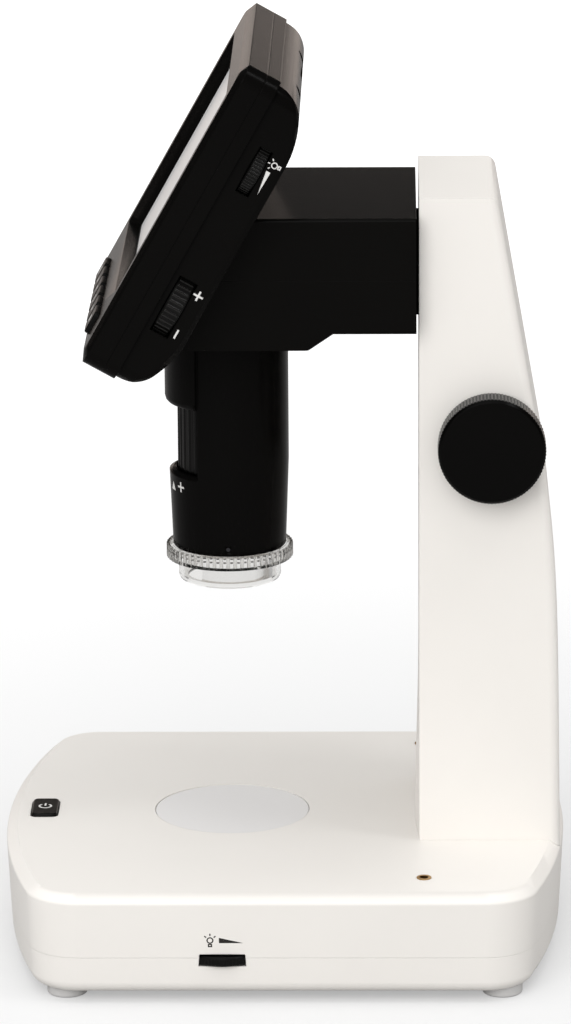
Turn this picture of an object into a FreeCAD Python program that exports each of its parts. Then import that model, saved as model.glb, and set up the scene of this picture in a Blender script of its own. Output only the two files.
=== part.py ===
import FreeCAD, Part
import math
import os

# Digital microscope with its own screen, millimetres. Z is up, the standing
# surface is Z = 0, the screen looks to -Y, the column stands at +Y and the
# focus knob is on the +X side.
os.makedirs("parts", exist_ok=True)
V = FreeCAD.Vector

# Clearances
running_gap = 0.05
sliding_gap = 0.3
joint_gap = 0.1

# Base
base_half_width = 67.0
base_half_length = 71.1
base_bow_radius = 211.0
base_corner_radius = 13.5
base_wall = 2.2
foot_height = 2.5
foot_radius = 5.0
foot_seat_depth = 0.8
foot_side_margin = 10.0
foot_front_margin = 17.8
foot_rear_margin = 16.5
tray_height = 9.6
tray_side_inset = 0.7
tray_edge_radius = 3.3
cover_height = 16.6
cover_plate = 2.5
rim_width = 2.7
rim_drop = 2.3
base_screw_side_margin = 23.0
base_screw_front_margin = 15.1
base_screw_rear_margin = 14.1
base_screw_recess = 3.2
base_screw_length = 14.0
base_boss_radius = 5.5
screw_radius = 1.5
screw_head_radius = 2.9
screw_head_height = 2.2

# Stage, lit from below through a frosted disc
barrel_axis_y = -13.6
stage_radius = 19.6
stage_thickness = 2.2
stage_recess = 0.15
stage_ledge = 1.8
light_board_half = 21.0
light_board_thickness = 1.6
light_board_drop = 9.0
lamp_size = 3.0
lamp_height = 1.2

# Power button at the front of the base
button_front_margin = 9.5
button_half_x = 6.5
button_half_y = 3.3
button_corner = 1.4
button_proud = 0.7
button_travel = 1.0
button_lip = 1.0
button_stem = 2.4
switch_height = 7.5

# Stage light wheel in the side seam of the base
stage_wheel_y = -14.5
stage_wheel_radius = 9.6
stage_wheel_proud = 1.5
stage_wheel_thickness = 2.4
stage_slot_half = 5.6
stage_slot_rise = 1.0
spindle_radius = 1.5
dimmer_half = 3.2
dimmer_lift = 1.8

# Sockets for the stage clips
clip_side_margin = 13.0
clip_setback = 1.0
clip_rim_radius = 1.85
clip_bore_radius = 1.1
clip_depth = 9.0

# Power inlet in the rear wall of the base, battery in the tray
inlet_half = 4.5
inlet_screw_gap = 2.0
inlet_lift = 2.4
inlet_wall_gap = 2.2
inlet_nose_radius = 3.2
inlet_length = 11.0
battery_half_x = 25.0
battery_half_y = 16.0
battery_thickness = 7.5
battery_rear_margin = 24.1
battery_rib_thickness = 1.6
battery_rib_inset = 4.0
battery_rib_drop = 2.5

# Column
column_half_width = 25.25
column_height = 165.3
column_wall = 2.4
column_top_depth = 19.2
column_slant_depth = 30.8
column_slant_height = 98.5
column_foot_depth = 35.5
column_rear_margin = 1.4
column_rear_radius = 2.4
column_bow = 1.2
column_bow_height = 40.0
column_boss_radius = 4.0
column_boss_height = 16.0
column_boss_front = 6.8
column_boss_rear = 25.8
column_screw_length = 14.0
cable_pass_half_x = 9.0
cable_pass_half_y = 6.0

# Focus drive
travel_up = 3.0
travel_down = 45.0
pinion_setback = 17.9
pinion_height = 103.4
pinion_teeth = 12
gear_module = 1.0
gear_half_width = 4.5
shaft_radius = 2.5
bush_wall = 1.2
bush_boss_length = 3.0
knob_radius = 13.2
knob_gap = 0.95
knob_width = 7.8
knob_bevel = 0.6
knob_wall = 2.4
rod_radius = 3.0
rod_x = 16.5
rod_setback = 8.0
bracket_thickness = 5.0
lower_bracket_height = 71.3

# Arm
arm_half_width = 30.5
arm_rear_gap = 0.65
arm_wall = 2.2
arm_top_drop = 3.9
arm_upper_height = 15.4
arm_rear_height = 13.6
arm_front_height = 17.6
arm_slant_rear_y = 13.1
arm_slant_front_y = 7.2
arm_edge_radius = 0.8
tongue_half_width = 12.0
tongue_upper_low = 0.8
tongue_upper_high = 8.7
tongue_lower_high = 0.7
tongue_lower_low = 13.0
arm_screw_x = 24.0
arm_screw_setback = 12.55
arm_screw_recess = 2.6
arm_boss_radius = 3.4
small_screw_radius = 1.2
small_head_radius = 2.3
small_head_height = 1.5
carriage_screw_grip = 5.5

# Screen housing. Its own directions are X, u up along the tilted face and
# n out of the face, with the middle of the face as the starting point.
screen_tilt = 29.4
screen_face_y = -28.41
screen_face_rise = 0.38
screen_half_width = 44.5
screen_half_height = 42.1
screen_corner = 4.5
screen_bevel_side = 1.5
screen_bevel_end = 3.0
screen_bevel_depth = 1.3
screen_wall = 2.2
screen_seam = 6.4
screen_flange = 10.0
screen_step = 0.9
screen_depth = 21.0
window_half_x = 39.7
window_bottom = -23.2
window_top = 32.9
window_corner = 1.5
display_half_x = 35.55
display_half_y = 26.65
display_u = 5.05
display_recess = 3.15
display_border = 3.0
display_thickness = 3.2
menu_pitch = 10.4
menu_u = -35.0
menu_half_x = 4.3
menu_half_y = 3.0
menu_corner = 1.0
menu_proud = 1.2
menu_travel = 0.6
menu_lip = 0.6
menu_lip_thickness = 0.9
menu_stem = 0.9
menu_board_end = 4.1
menu_board_edge = 0.8
menu_board_notch_gap = 0.3
menu_post_inset = 1.6
menu_post_radius = 1.5
menu_dome_half = 2.0
menu_stem_half = 1.5
board_thickness = 1.2
main_board_n = -8.6
main_board_left_margin = 5.3
main_board_right_margin = 3.3
main_board_low_margin = 12.4
main_board_top_margin = 6.9
main_post_inset = 4.0
main_post_x = 12.0
housing_screw_x = 22.0
housing_screw_margin = 2.7
housing_low_margin = 3.1
housing_low_rise = 5.2
housing_boss_wall = 1.4
housing_head_n = -12.0
screen_screw_x = 16.0
screen_screw_top_u = -4.0
screen_screw_low_u = -20.0
screen_boss_radius = 3.0
screen_boss_length = 9.0
cable_hole_radius = 5.0
cable_hole_u = -11.0
card_x = -6.0
card_half = 6.0
card_slit = 1.1
card_socket_rim = 1.0
card_socket_low_u = 16.0
card_socket_high_u = 28.0
card_socket_height = 2.0
card_lift = 0.6
light_wheel_u = 20.25
light_wheel_n = -14.75
light_wheel_radius = 8.0
light_wheel_thickness = 3.1
light_slot_half = 6.25
zoom_wheel_u = -18.6
zoom_wheel_n = -13.95
zoom_wheel_radius = 10.0
zoom_wheel_thickness = 4.5
zoom_slot_half = 7.7
wheel_proud = 1.0
wheel_slot_gap = 0.2

# Barrel
barrel_radius = 15.1
barrel_mouth_radius = 14.26
mouth_wall = 1.31
barrel_bottom_drop = 75.1
barrel_taper_height = 22.4
barrel_bore = 13.2
collar_proud = 0.9
collar_height = 19.7
finger_window_height = 17.1
finger_half_angle = 60.0
finger_lip_slope = 1.6
mouth_depth = 6.9
ledge_thickness = 1.5
ledge_radius = 11.0
sleeve_wall = 1.0
sleeve_rib = 0.3
sleeve_length = 31.0
carrier_length = 22.0
lens_radius = 7.5
lens_thickness = 5.0
sensor_mount_plate = 3.0
sensor_post_length = 5.0
mount_screw_circle = 9.5
mount_hole_radius = 4.0
side_screw_radius = 0.5
side_screw_height = 2.1

# Clear cap
cap_ring_radius = 16.0
cap_ring_rib = 0.3
cap_ring_height = 3.5
cap_ring_overlap = 0.4
cap_sleeve_drop = 8.7
cap_wall = 1.2
cap_rim = 1.0
cap_top_gap = 1.5
cap_fit = 0.08

# Heights and places worked out from the sizes above
tray_z = foot_height
floor_z = tray_z + base_wall
seam_z = tray_z + tray_height
top_z = seam_z + cover_height
plate_z = top_z - cover_plate
foot_x = base_half_width - foot_side_margin
foot_front_y = -base_half_length + foot_front_margin
foot_rear_y = base_half_length - foot_rear_margin
base_screw_x = base_half_width - base_screw_side_margin
base_screw_front_y = -base_half_length + base_screw_front_margin
base_screw_rear_y = base_half_length - base_screw_rear_margin
button_y = -base_half_length + button_front_margin
column_front_y = base_half_length - column_rear_margin - column_foot_depth
clip_x = base_half_width - clip_side_margin
clip_y = column_front_y + clip_setback
battery_y = base_half_length - battery_rear_margin - battery_half_y
inlet_x = -base_screw_x + base_boss_radius + inlet_screw_gap + inlet_half
column_top_z = top_z + column_height
arm_rear_y = column_front_y - arm_rear_gap
arm_screw_y = arm_rear_y - arm_screw_setback
arm_top_z = column_top_z - arm_top_drop
arm_seam_z = arm_top_z - arm_upper_height
arm_rear_z = arm_seam_z - arm_rear_height
arm_bottom_z = arm_seam_z - arm_front_height
screen_face_z = column_top_z + screen_face_rise
pinion_y = column_front_y + pinion_setback
pinion_z = top_z + pinion_height
pitch_radius = gear_module * pinion_teeth / 2
inner_front_y = column_front_y + column_wall
inner_half_x = column_half_width - column_wall
rod_y = column_front_y + rod_setback


def slab(x0, x1, y0, y1, z0, z1):
    """Block between the given limits."""
    return Part.makeBox(x1 - x0, y1 - y0, z1 - z0, V(x0, y0, z0))


def rod_up(x, y, radius, z0, z1):
    """Upright round bar."""
    return Part.makeCylinder(radius, z1 - z0, V(x, y, z0), V(0, 0, 1))


def rod_across(y, z, radius, x0, x1):
    """Round bar along X."""
    return Part.makeCylinder(radius, x1 - x0, V(x0, y, z), V(1, 0, 0))


def rod_along(x, z, radius, y0, y1):
    """Round bar along Y."""
    return Part.makeCylinder(radius, y1 - y0, V(x, y0, z), V(0, 1, 0))


def profile_across(points, half_width):
    """Outline of (y, z) points drawn out along X to both sides."""
    wire = Part.makePolygon([V(-half_width, y, z) for y, z in points + points[:1]])
    return Part.Face(wire).extrude(V(2 * half_width, 0, 0))


def turned(points, axis_y):
    """Outline of (radius, z) points turned round an upright axis."""
    wire = Part.makePolygon([V(r, axis_y, z) for r, z in points + points[:1]])
    return Part.Face(wire).revolve(V(0, axis_y, 0), V(0, 0, 1), 360)


def turned_front(points, axis_y, half_angle):
    """Outline of (radius, z) points turned only across the front side."""
    wire = Part.makePolygon([V(r, axis_y, z) for r, z in points + points[:1]])
    face = Part.Face(wire)
    face.rotate(V(0, axis_y, 0), V(0, 0, 1), -90 - half_angle)
    return face.revolve(V(0, axis_y, 0), V(0, 0, 1), 2 * half_angle)


def rounded_wire(x, y, half_x, half_y, corner, z):
    """Rectangle with round corners, lying flat at height z."""
    dx = half_x - corner
    dy = half_y - corner
    edges = []
    for turn, (sx, sy) in enumerate([(1, 1), (-1, 1), (-1, -1), (1, -1)]):
        middle = V(x + sx * dx, y + sy * dy, z)
        start = math.radians(90 * turn)
        points = [
            middle + V(corner * math.cos(start + a), corner * math.sin(start + a), 0)
            for a in (0, math.pi / 4, math.pi / 2)
        ]
        edges.append(Part.Arc(*points).toShape())
    ends = [e.Vertexes for e in edges]
    for turn in range(4):
        here = ends[turn][1].Point
        there = ends[(turn + 1) % 4][0].Point
        edges.append(Part.makeLine(here, there))
    return Part.Wire(Part.__sortEdges__(edges))


def rounded_plate(x, y, half_x, half_y, corner, z0, z1):
    """Flat plate with round corners."""
    wire = rounded_wire(x, y, half_x, half_y, corner, z0)
    return Part.Face(wire).extrude(V(0, 0, z1 - z0))


def base_wire(inset, z):
    """Base outline: straight sides, bowed ends, round corners, moved in."""
    bow_y = base_half_length - base_bow_radius
    corner_x = base_half_width - base_corner_radius
    reach = base_bow_radius - base_corner_radius
    corner_y = bow_y + math.sqrt(reach ** 2 - corner_x ** 2)
    corner = base_corner_radius - inset
    bow = base_bow_radius - inset
    lean = math.atan2(corner_x, corner_y - bow_y)
    side_x = corner_x + corner
    meet_x = bow * math.sin(lean)
    meet_y = bow_y + bow * math.cos(lean)
    mid = (math.pi / 2 - lean) / 2
    mid_x = corner_x + corner * math.cos(mid)
    mid_y = corner_y + corner * math.sin(mid)
    end_y = bow_y + bow
    edges = [
        Part.makeLine(V(side_x, -corner_y, z), V(side_x, corner_y, z)),
        Part.Arc(V(side_x, corner_y, z), V(mid_x, mid_y, z), V(meet_x, meet_y, z)).toShape(),
        Part.Arc(V(meet_x, meet_y, z), V(0, end_y, z), V(-meet_x, meet_y, z)).toShape(),
        Part.Arc(V(-meet_x, meet_y, z), V(-mid_x, mid_y, z), V(-side_x, corner_y, z)).toShape(),
        Part.makeLine(V(-side_x, corner_y, z), V(-side_x, -corner_y, z)),
        Part.Arc(V(-side_x, -corner_y, z), V(-mid_x, -mid_y, z), V(-meet_x, -meet_y, z)).toShape(),
        Part.Arc(V(-meet_x, -meet_y, z), V(0, -end_y, z), V(meet_x, -meet_y, z)).toShape(),
        Part.Arc(V(meet_x, -meet_y, z), V(mid_x, -mid_y, z), V(side_x, -corner_y, z)).toShape(),
    ]
    return Part.Wire(edges)


def base_solid(levels):
    """Base outline lofted through (inset, z) levels."""
    return Part.makeLoft([base_wire(inset, z) for inset, z in levels], True, True)


def save(name, solids):
    """Write one node; a list of solids becomes one file with several solids."""
    shape = Part.makeCompound(solids) if len(solids) > 1 else solids[0]
    shape.exportStep("parts/" + name + ".step")


def screw_up(x, y, z, length, radius, head_radius, head_height):
    """Screw pointing up with its head under the height z."""
    head = rod_up(x, y, head_radius, z - head_height, z)
    return head.fuse(rod_up(x, y, radius, z, z + length))


# Base tray: rounded bottom edge, four feet seats, screw bosses, posts for the
# light board, the switch, the wheel body, the battery and the power inlet
tray = base_solid([(tray_side_inset + 0.5, tray_z), (tray_side_inset, seam_z)])
bottom_edges = [e for e in tray.Edges if e.BoundBox.ZMax < tray_z + 0.01]
tray = tray.makeFillet(tray_edge_radius, bottom_edges)
tray_hollow = base_solid(
    [
        (tray_side_inset + 0.5 + base_wall + tray_edge_radius * 0.4, floor_z),
        (tray_side_inset + base_wall + 0.3, floor_z + tray_edge_radius * 0.6),
        (tray_side_inset + base_wall, seam_z + 1),
    ]
)
tray = tray.cut(tray_hollow)
base_screw_places = [
    (sx * base_screw_x, y) for sx in (-1, 1) for y in (base_screw_front_y, base_screw_rear_y)
]
head_seat_z = tray_z + base_screw_recess
light_board_z = plate_z - light_board_drop
light_posts = [
    (sx * (light_board_half - 3), barrel_axis_y + sy * (light_board_half - 3))
    for sx in (-1, 1)
    for sy in (-1, 1)
]
button_flange_z = plate_z - joint_gap
button_stem_z = button_flange_z - button_lip - button_stem
switch_top_z = button_stem_z - button_travel - joint_gap
switch_z = switch_top_z - switch_height
seam_half_x = base_half_width - tray_side_inset
wheel_top_z = seam_z + 0.5
wheel_z = wheel_top_z - stage_wheel_thickness
stage_wheel_x = seam_half_x + stage_wheel_proud - stage_wheel_radius
dimmer_z = floor_z + dimmer_lift
inlet_z = seam_z + inlet_lift
inlet_rear_y = base_half_length - base_bow_radius
inlet_rear_y = inlet_rear_y + math.sqrt((base_bow_radius - 0.9) ** 2 - inlet_x ** 2)
inlet_back_y = inlet_rear_y - base_wall - inlet_wall_gap
tray_adds = [rod_up(x, y, base_boss_radius, floor_z - 0.5, seam_z) for x, y in base_screw_places]
tray_adds += [rod_up(x, y, 2.5, floor_z - 0.5, light_board_z) for x, y in light_posts]
tray_adds.append(slab(-5, 5, button_y - 3.2, button_y + 3.2, floor_z - 0.5, switch_z))
tray_adds.append(
    slab(
        stage_wheel_x - dimmer_half,
        stage_wheel_x + dimmer_half,
        stage_wheel_y - dimmer_half,
        stage_wheel_y + dimmer_half,
        floor_z - 0.5,
        dimmer_z,
    )
)
tray_adds.append(
    slab(
        inlet_x - inlet_half + 0.5,
        inlet_x + inlet_half - 0.5,
        inlet_back_y - inlet_length + 1,
        inlet_back_y - 1,
        floor_z - 0.5,
        inlet_z,
    )
)
for side in (-1, 1):
    rib_x = side * (battery_half_x + joint_gap + battery_rib_thickness / 2)
    tray_adds.append(
        slab(
            rib_x - battery_rib_thickness / 2,
            rib_x + battery_rib_thickness / 2,
            battery_y - battery_half_y + battery_rib_inset,
            battery_y + battery_half_y - battery_rib_inset,
            floor_z - 0.5,
            floor_z + battery_thickness - battery_rib_drop,
        )
    )
tray = tray.fuse(tray_adds)
foot_places = [(sx * foot_x, y) for sx in (-1, 1) for y in (foot_front_y, foot_rear_y)]
tray_cuts = [rod_up(x, y, foot_radius + joint_gap, -1, tray_z + foot_seat_depth) for x, y in foot_places]
tray_cuts += [rod_up(x, y, screw_head_radius + 0.3, -1, head_seat_z) for x, y in base_screw_places]
tray_cuts += [rod_up(x, y, screw_radius + 0.2, 0, seam_z + 1) for x, y in base_screw_places]
wheel_slot = slab(
    stage_wheel_x,
    base_half_width + 5,
    stage_wheel_y - stage_slot_half,
    stage_wheel_y + stage_slot_half,
    wheel_z - sliding_gap,
    seam_z + stage_slot_rise,
)
wheel_pocket = rod_up(
    stage_wheel_x,
    stage_wheel_y,
    stage_wheel_radius + sliding_gap,
    wheel_z - sliding_gap,
    wheel_top_z + sliding_gap,
)
tray_cuts += [wheel_slot, wheel_pocket]
tray = tray.cut(tray_cuts)
save("base_tray", [tray])

# Feet: soft discs pressed into shallow seats
feet = []
for x, y in foot_places:
    foot = rod_up(x, y, foot_radius, 0, tray_z + foot_seat_depth)
    lower_rim = [e for e in foot.Edges if e.BoundBox.ZMax < 0.01]
    feet.append(foot.makeFillet(0.6, lower_rim))
save("base_feet", feet)

# Base cover: bowed ends, sloped rim band, stage seat, button hole, sockets
cover = base_solid([(tray_side_inset, seam_z), (0, top_z - rim_drop), (rim_width, top_z)])
rim_edges = [
    e
    for e in cover.Edges
    if abs(e.BoundBox.ZMin - (top_z - rim_drop)) < 0.01 and abs(e.BoundBox.ZMax - (top_z - rim_drop)) < 0.01
]
cover = cover.makeFillet(0.9, rim_edges)
cover_body = cover.copy()
cover_hollow = base_solid(
    [
        (tray_side_inset + base_wall + 0.1, seam_z - 1),
        (base_wall, top_z - rim_drop - 1.5),
        (base_wall + rim_width * 0.5, plate_z),
    ]
)
cover = cover.cut(cover_hollow)
disc_top_z = top_z - stage_recess
disc_z = disc_top_z - stage_thickness
clip_places = [(side * clip_x, clip_y) for side in (-1, 1)]
column_screw_places = [
    (side * (inner_half_x - column_boss_radius + 0.45), column_front_y + setback)
    for side in (-1, 1)
    for setback in (column_boss_front, column_boss_rear)
]
cover_adds = [rod_up(x, y, base_boss_radius, seam_z, plate_z + 0.5) for x, y in base_screw_places]
cover_adds += [rod_up(x, y, 4.0, top_z - clip_depth - 2, plate_z + 0.5) for x, y in clip_places]
cover_adds.append(rod_up(0, barrel_axis_y, stage_radius + 2.2, disc_z - 2, plate_z + 0.5))
cover = cover.fuse(cover_adds)
pilot_top_z = head_seat_z + base_screw_length + 3.4
cover_cuts = [rod_up(x, y, screw_radius, seam_z - 1, pilot_top_z) for x, y in base_screw_places]
cover_cuts += [rod_up(x, y, clip_rim_radius, top_z - 0.6, top_z + 1) for x, y in clip_places]
cover_cuts += [rod_up(x, y, clip_rim_radius - 0.25, top_z - clip_depth, top_z + 1) for x, y in clip_places]
cover_cuts.append(rod_up(0, barrel_axis_y, stage_radius + 0.15, disc_z, top_z + 1))
cover_cuts.append(rod_up(0, barrel_axis_y, stage_radius - stage_ledge, disc_z - 4, disc_z + 0.1))
cover_cuts.append(
    rounded_plate(
        0,
        button_y,
        button_half_x + sliding_gap,
        button_half_y + sliding_gap,
        button_corner + sliding_gap,
        plate_z - 1,
        top_z + 1,
    )
)
cover_cuts += [rod_up(x, y, screw_radius + 0.2, plate_z - 1, top_z + 1) for x, y in column_screw_places]
cover_cuts.append(rounded_plate(0, pinion_y, cable_pass_half_x, cable_pass_half_y, 2, plate_z - 1, top_z + 1))
cover_cuts += [wheel_slot, wheel_pocket]
inlet_mid_z = inlet_z + inlet_half
cover_cuts.append(
    rod_along(inlet_x, inlet_mid_z, inlet_nose_radius + 0.15, inlet_back_y - 2, inlet_rear_y + 5)
)
cover = cover.cut(cover_cuts)
save("base_cover", [cover])
base_screws = []
for x, y in base_screw_places:
    base_screws.append(
        screw_up(
            x,
            y,
            head_seat_z,
            base_screw_length,
            screw_radius - running_gap,
            screw_head_radius,
            screw_head_height,
        )
    )
save("base_screws", base_screws)

# Stage disc, its light board with nine lamps, and the clip sockets
save("stage_disc", [rod_up(0, barrel_axis_y, stage_radius, disc_z, disc_top_z)])
light_board = rounded_plate(
    0,
    barrel_axis_y,
    light_board_half,
    light_board_half,
    2,
    light_board_z,
    light_board_z + light_board_thickness,
)
lamps = []
for col in (-1, 0, 1):
    for row in (-1, 0, 1):
        lamp_x = col * stage_radius * 0.5
        lamp_y = barrel_axis_y + row * stage_radius * 0.5
        lamps.append(
            slab(
                lamp_x - lamp_size / 2,
                lamp_x + lamp_size / 2,
                lamp_y - lamp_size / 2,
                lamp_y + lamp_size / 2,
                light_board_z + light_board_thickness,
                light_board_z + light_board_thickness + lamp_height,
            )
        )
save("stage_light_board", [light_board.fuse(lamps)])
sockets = []
for x, y in clip_places:
    socket = rod_up(x, y, clip_rim_radius - 0.3, top_z - clip_depth, top_z)
    socket = socket.fuse(rod_up(x, y, clip_rim_radius - 0.03, top_z - 0.6, top_z + 0.2))
    sockets.append(socket.cut(rod_up(x, y, clip_bore_radius, top_z - clip_depth + 1, top_z + 1)))
save("clip_sockets", sockets)

# Power button over its switch
button = rounded_plate(
    0, button_y, button_half_x, button_half_y, button_corner, button_flange_z - button_lip, top_z + button_proud
)
top_edges = [e for e in button.Edges if e.BoundBox.ZMin > top_z + button_proud - 0.01]
button = button.makeFillet(0.5, top_edges)
button = button.fuse(
    [
        rounded_plate(
            0,
            button_y,
            button_half_x + button_lip,
            button_half_y + button_lip,
            button_corner + button_lip,
            button_flange_z - button_lip,
            button_flange_z,
        ),
        slab(-2.5, 2.5, button_y - 1.5, button_y + 1.5, button_stem_z, button_flange_z - button_lip),
    ]
)
save("power_button", [button])
switch = slab(-6, 6, button_y - 4.2, button_y + 4.2, switch_z, switch_top_z - 1.2)
switch = switch.fuse(slab(-3, 3, button_y - 2, button_y + 2, switch_top_z - 1.2, switch_top_z))
save("power_switch", [switch])

# Stage light wheel on the spindle of its dimmer
wheel = rod_up(stage_wheel_x, stage_wheel_y, stage_wheel_radius, wheel_z, wheel_top_z)
wheel = wheel.makeChamfer(0.35, [e for e in wheel.Edges if e.Length > 2 * stage_wheel_radius * 3])
wheel = wheel.cut(
    rod_up(stage_wheel_x, stage_wheel_y, spindle_radius + running_gap, wheel_z - 1, wheel_top_z + 1)
)
save("stage_light_wheel", [wheel])
dimmer = slab(
    stage_wheel_x - dimmer_half,
    stage_wheel_x + dimmer_half,
    stage_wheel_y - dimmer_half,
    stage_wheel_y + dimmer_half,
    dimmer_z,
    wheel_z - joint_gap,
)
dimmer = dimmer.fuse(rod_up(stage_wheel_x, stage_wheel_y, spindle_radius, wheel_z - 1, wheel_top_z + 0.4))
save("stage_light_dimmer", [dimmer])

# Power inlet and battery
inlet = slab(
    inlet_x - inlet_half,
    inlet_x + inlet_half,
    inlet_back_y - inlet_length,
    inlet_back_y,
    inlet_z,
    inlet_z + 2 * inlet_half,
)
inlet = inlet.fuse(rod_along(inlet_x, inlet_mid_z, inlet_nose_radius, inlet_back_y - 1, inlet_rear_y - 0.4))
inlet = inlet.cut(rod_along(inlet_x, inlet_mid_z, inlet_nose_radius - 0.9, inlet_back_y - 6.5, inlet_rear_y + 1))
inlet = inlet.fuse(rod_along(inlet_x, inlet_mid_z, 0.6, inlet_back_y - 7, inlet_rear_y - 1.2))
save("power_inlet", [inlet])
save(
    "battery_pack",
    [
        rounded_plate(
            0, battery_y, battery_half_x, battery_half_y, 2.5, floor_z, floor_z + battery_thickness
        )
    ],
)

# Column shell: slanting rear, curved foot, slot for the arm's tongues
slant_z = top_z + column_slant_height
rear_top_y = column_front_y + column_top_depth
rear_slant_y = column_front_y + column_slant_depth
rear_foot_y = column_front_y + column_foot_depth
slant_per_mm = (rear_slant_y - rear_top_y) / (column_top_z - slant_z)


def column_side(inset, low_z, high_z):
    """Side outline of the column moved in by a wall thickness."""
    front_y = column_front_y + inset
    top_y = rear_top_y - inset + slant_per_mm * (column_top_z - high_z)
    slant_y = rear_slant_y - inset
    foot_y = rear_foot_y - inset
    third = (slant_z - top_z) / 3
    bend_y = slant_y + slant_per_mm * third * 0.8
    curve = Part.BezierCurve()
    curve.setPoles(
        [
            V(0, slant_y, slant_z),
            V(0, bend_y, slant_z - third * 0.8),
            V(0, foot_y - 0.9, slant_z - third * 1.6),
            V(0, foot_y, low_z),
        ]
    )
    edges = [
        Part.makeLine(V(0, front_y, low_z), V(0, front_y, high_z)),
        Part.makeLine(V(0, front_y, high_z), V(0, top_y, high_z)),
        Part.makeLine(V(0, top_y, high_z), V(0, slant_y, slant_z)),
        curve.toShape(),
        Part.makeLine(V(0, foot_y, low_z), V(0, front_y, low_z)),
    ]
    return Part.Face(Part.Wire(edges))


column_low_z = top_z - rim_drop
column = column_side(0, column_low_z, column_top_z)
column = column.extrude(V(2 * column_half_width, 0, 0))
column.translate(V(-column_half_width, 0, 0))
rear_edges = []
for edge in column.Edges:
    box = edge.BoundBox
    upright = box.ZLength > 20 and box.YMax > rear_top_y + 0.5
    across_top = box.ZMin > column_top_z - 0.01 and box.YMin > rear_top_y - 0.01
    if upright or across_top:
        rear_edges.append(edge)
column = column.makeFillet(column_rear_radius, rear_edges)
bow_wires = []
for level, sagitta in ((column_low_z, column_bow), (top_z + column_bow_height, 0.02)):
    left = V(-column_half_width, column_front_y, level)
    right = V(column_half_width, column_front_y, level)
    nose = V(0, column_front_y - sagitta, level)
    bow_wires.append(Part.Wire([Part.Arc(left, nose, right).toShape(), Part.makeLine(right, left)]))
column = column.fuse(Part.makeLoft(bow_wires, True, True)).removeSplitter()
hollow = column_side(column_wall, column_low_z, column_top_z - column_wall)
hollow = hollow.extrude(V(2 * inner_half_x, 0, 0))
hollow.translate(V(-inner_half_x, 0, 0))
column = column.cut(hollow)
tongue_top_z = arm_seam_z + tongue_upper_high
tongue_low_z = arm_seam_z - tongue_lower_low
slot_top_z = tongue_top_z + travel_up + 0.8
slot_low_z = tongue_low_z - travel_down - 0.8
upper_bracket_z = slot_top_z + 0.2
lower_bracket_z = top_z + lower_bracket_height
bracket_half_x = inner_half_x - 0.2
bracket_front_y = inner_front_y + 0.2
bracket_rear_y = rod_y + rod_radius + 3.5
bush_radius = shaft_radius + running_gap + bush_wall
bush_boss_x = inner_half_x - bush_boss_length
column_adds = []
for x, y in column_screw_places:
    column_adds.append(rod_up(x, y, column_boss_radius, top_z, top_z + column_boss_height))
for side in (-1, 1):
    near = side * (inner_half_x - 4)
    far = side * (inner_half_x + 0.5)
    column_adds.append(
        slab(
            min(near, far),
            max(near, far),
            inner_front_y - 0.5,
            bracket_rear_y,
            lower_bracket_z - 4,
            lower_bracket_z,
        )
    )
    column_adds.append(
        rod_across(
            pinion_y,
            pinion_z,
            bush_radius + 1.2,
            min(side * bush_boss_x, far),
            max(side * bush_boss_x, far),
        )
    )
column = column.fuse(column_adds)
column_cuts = [cover_body]
column_cuts.append(
    slab(
        -tongue_half_width - 0.6,
        tongue_half_width + 0.6,
        column_front_y - 3,
        inner_front_y + 0.1,
        slot_low_z,
        slot_top_z,
    )
)
column_cuts.append(rod_across(pinion_y, pinion_z, bush_radius, bush_boss_x - 1, column_half_width + 1))
column_cuts.append(
    rod_across(pinion_y, pinion_z, bush_radius, -column_half_width + 1, -bush_boss_x + 1)
)
for x, y in column_screw_places:
    column_cuts.append(rod_up(x, y, screw_radius, top_z - 1, plate_z + column_screw_length + 1.5))
column = column.cut(column_cuts)
save("column_shell", [column])
column_screws = []
for x, y in column_screw_places:
    column_screws.append(
        screw_up(
            x,
            y,
            plate_z,
            column_screw_length,
            screw_radius - running_gap,
            screw_head_radius,
            screw_head_height,
        )
    )
save("column_screws", column_screws)

# Guide rods and the two brackets that hold them
rod_low_z = lower_bracket_z + 1
rod_high_z = column_top_z - column_wall - 1.2
rods = [rod_up(side * rod_x, rod_y, rod_radius, rod_low_z, rod_high_z) for side in (-1, 1)]
save("guide_rods", rods)
upper_bracket = slab(
    -bracket_half_x,
    bracket_half_x,
    bracket_front_y,
    bracket_rear_y,
    upper_bracket_z,
    column_top_z - column_wall,
)
save("upper_rod_bracket", [upper_bracket.cut(rods)])
rack_front_y = pinion_y - pitch_radius - 5.1 * gear_module
rack_channel_x = gear_half_width + 2.5
lower_bracket = slab(
    -bracket_half_x,
    bracket_half_x,
    bracket_front_y,
    bracket_rear_y,
    lower_bracket_z,
    lower_bracket_z + bracket_thickness,
)
rack_passage = slab(
    -rack_channel_x,
    rack_channel_x,
    rack_front_y - 1.2,
    bracket_rear_y + 5,
    lower_bracket_z - 5,
    lower_bracket_z + bracket_thickness + 5,
)
save("lower_rod_bracket", [lower_bracket.cut(rods + [rack_passage])])

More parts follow.
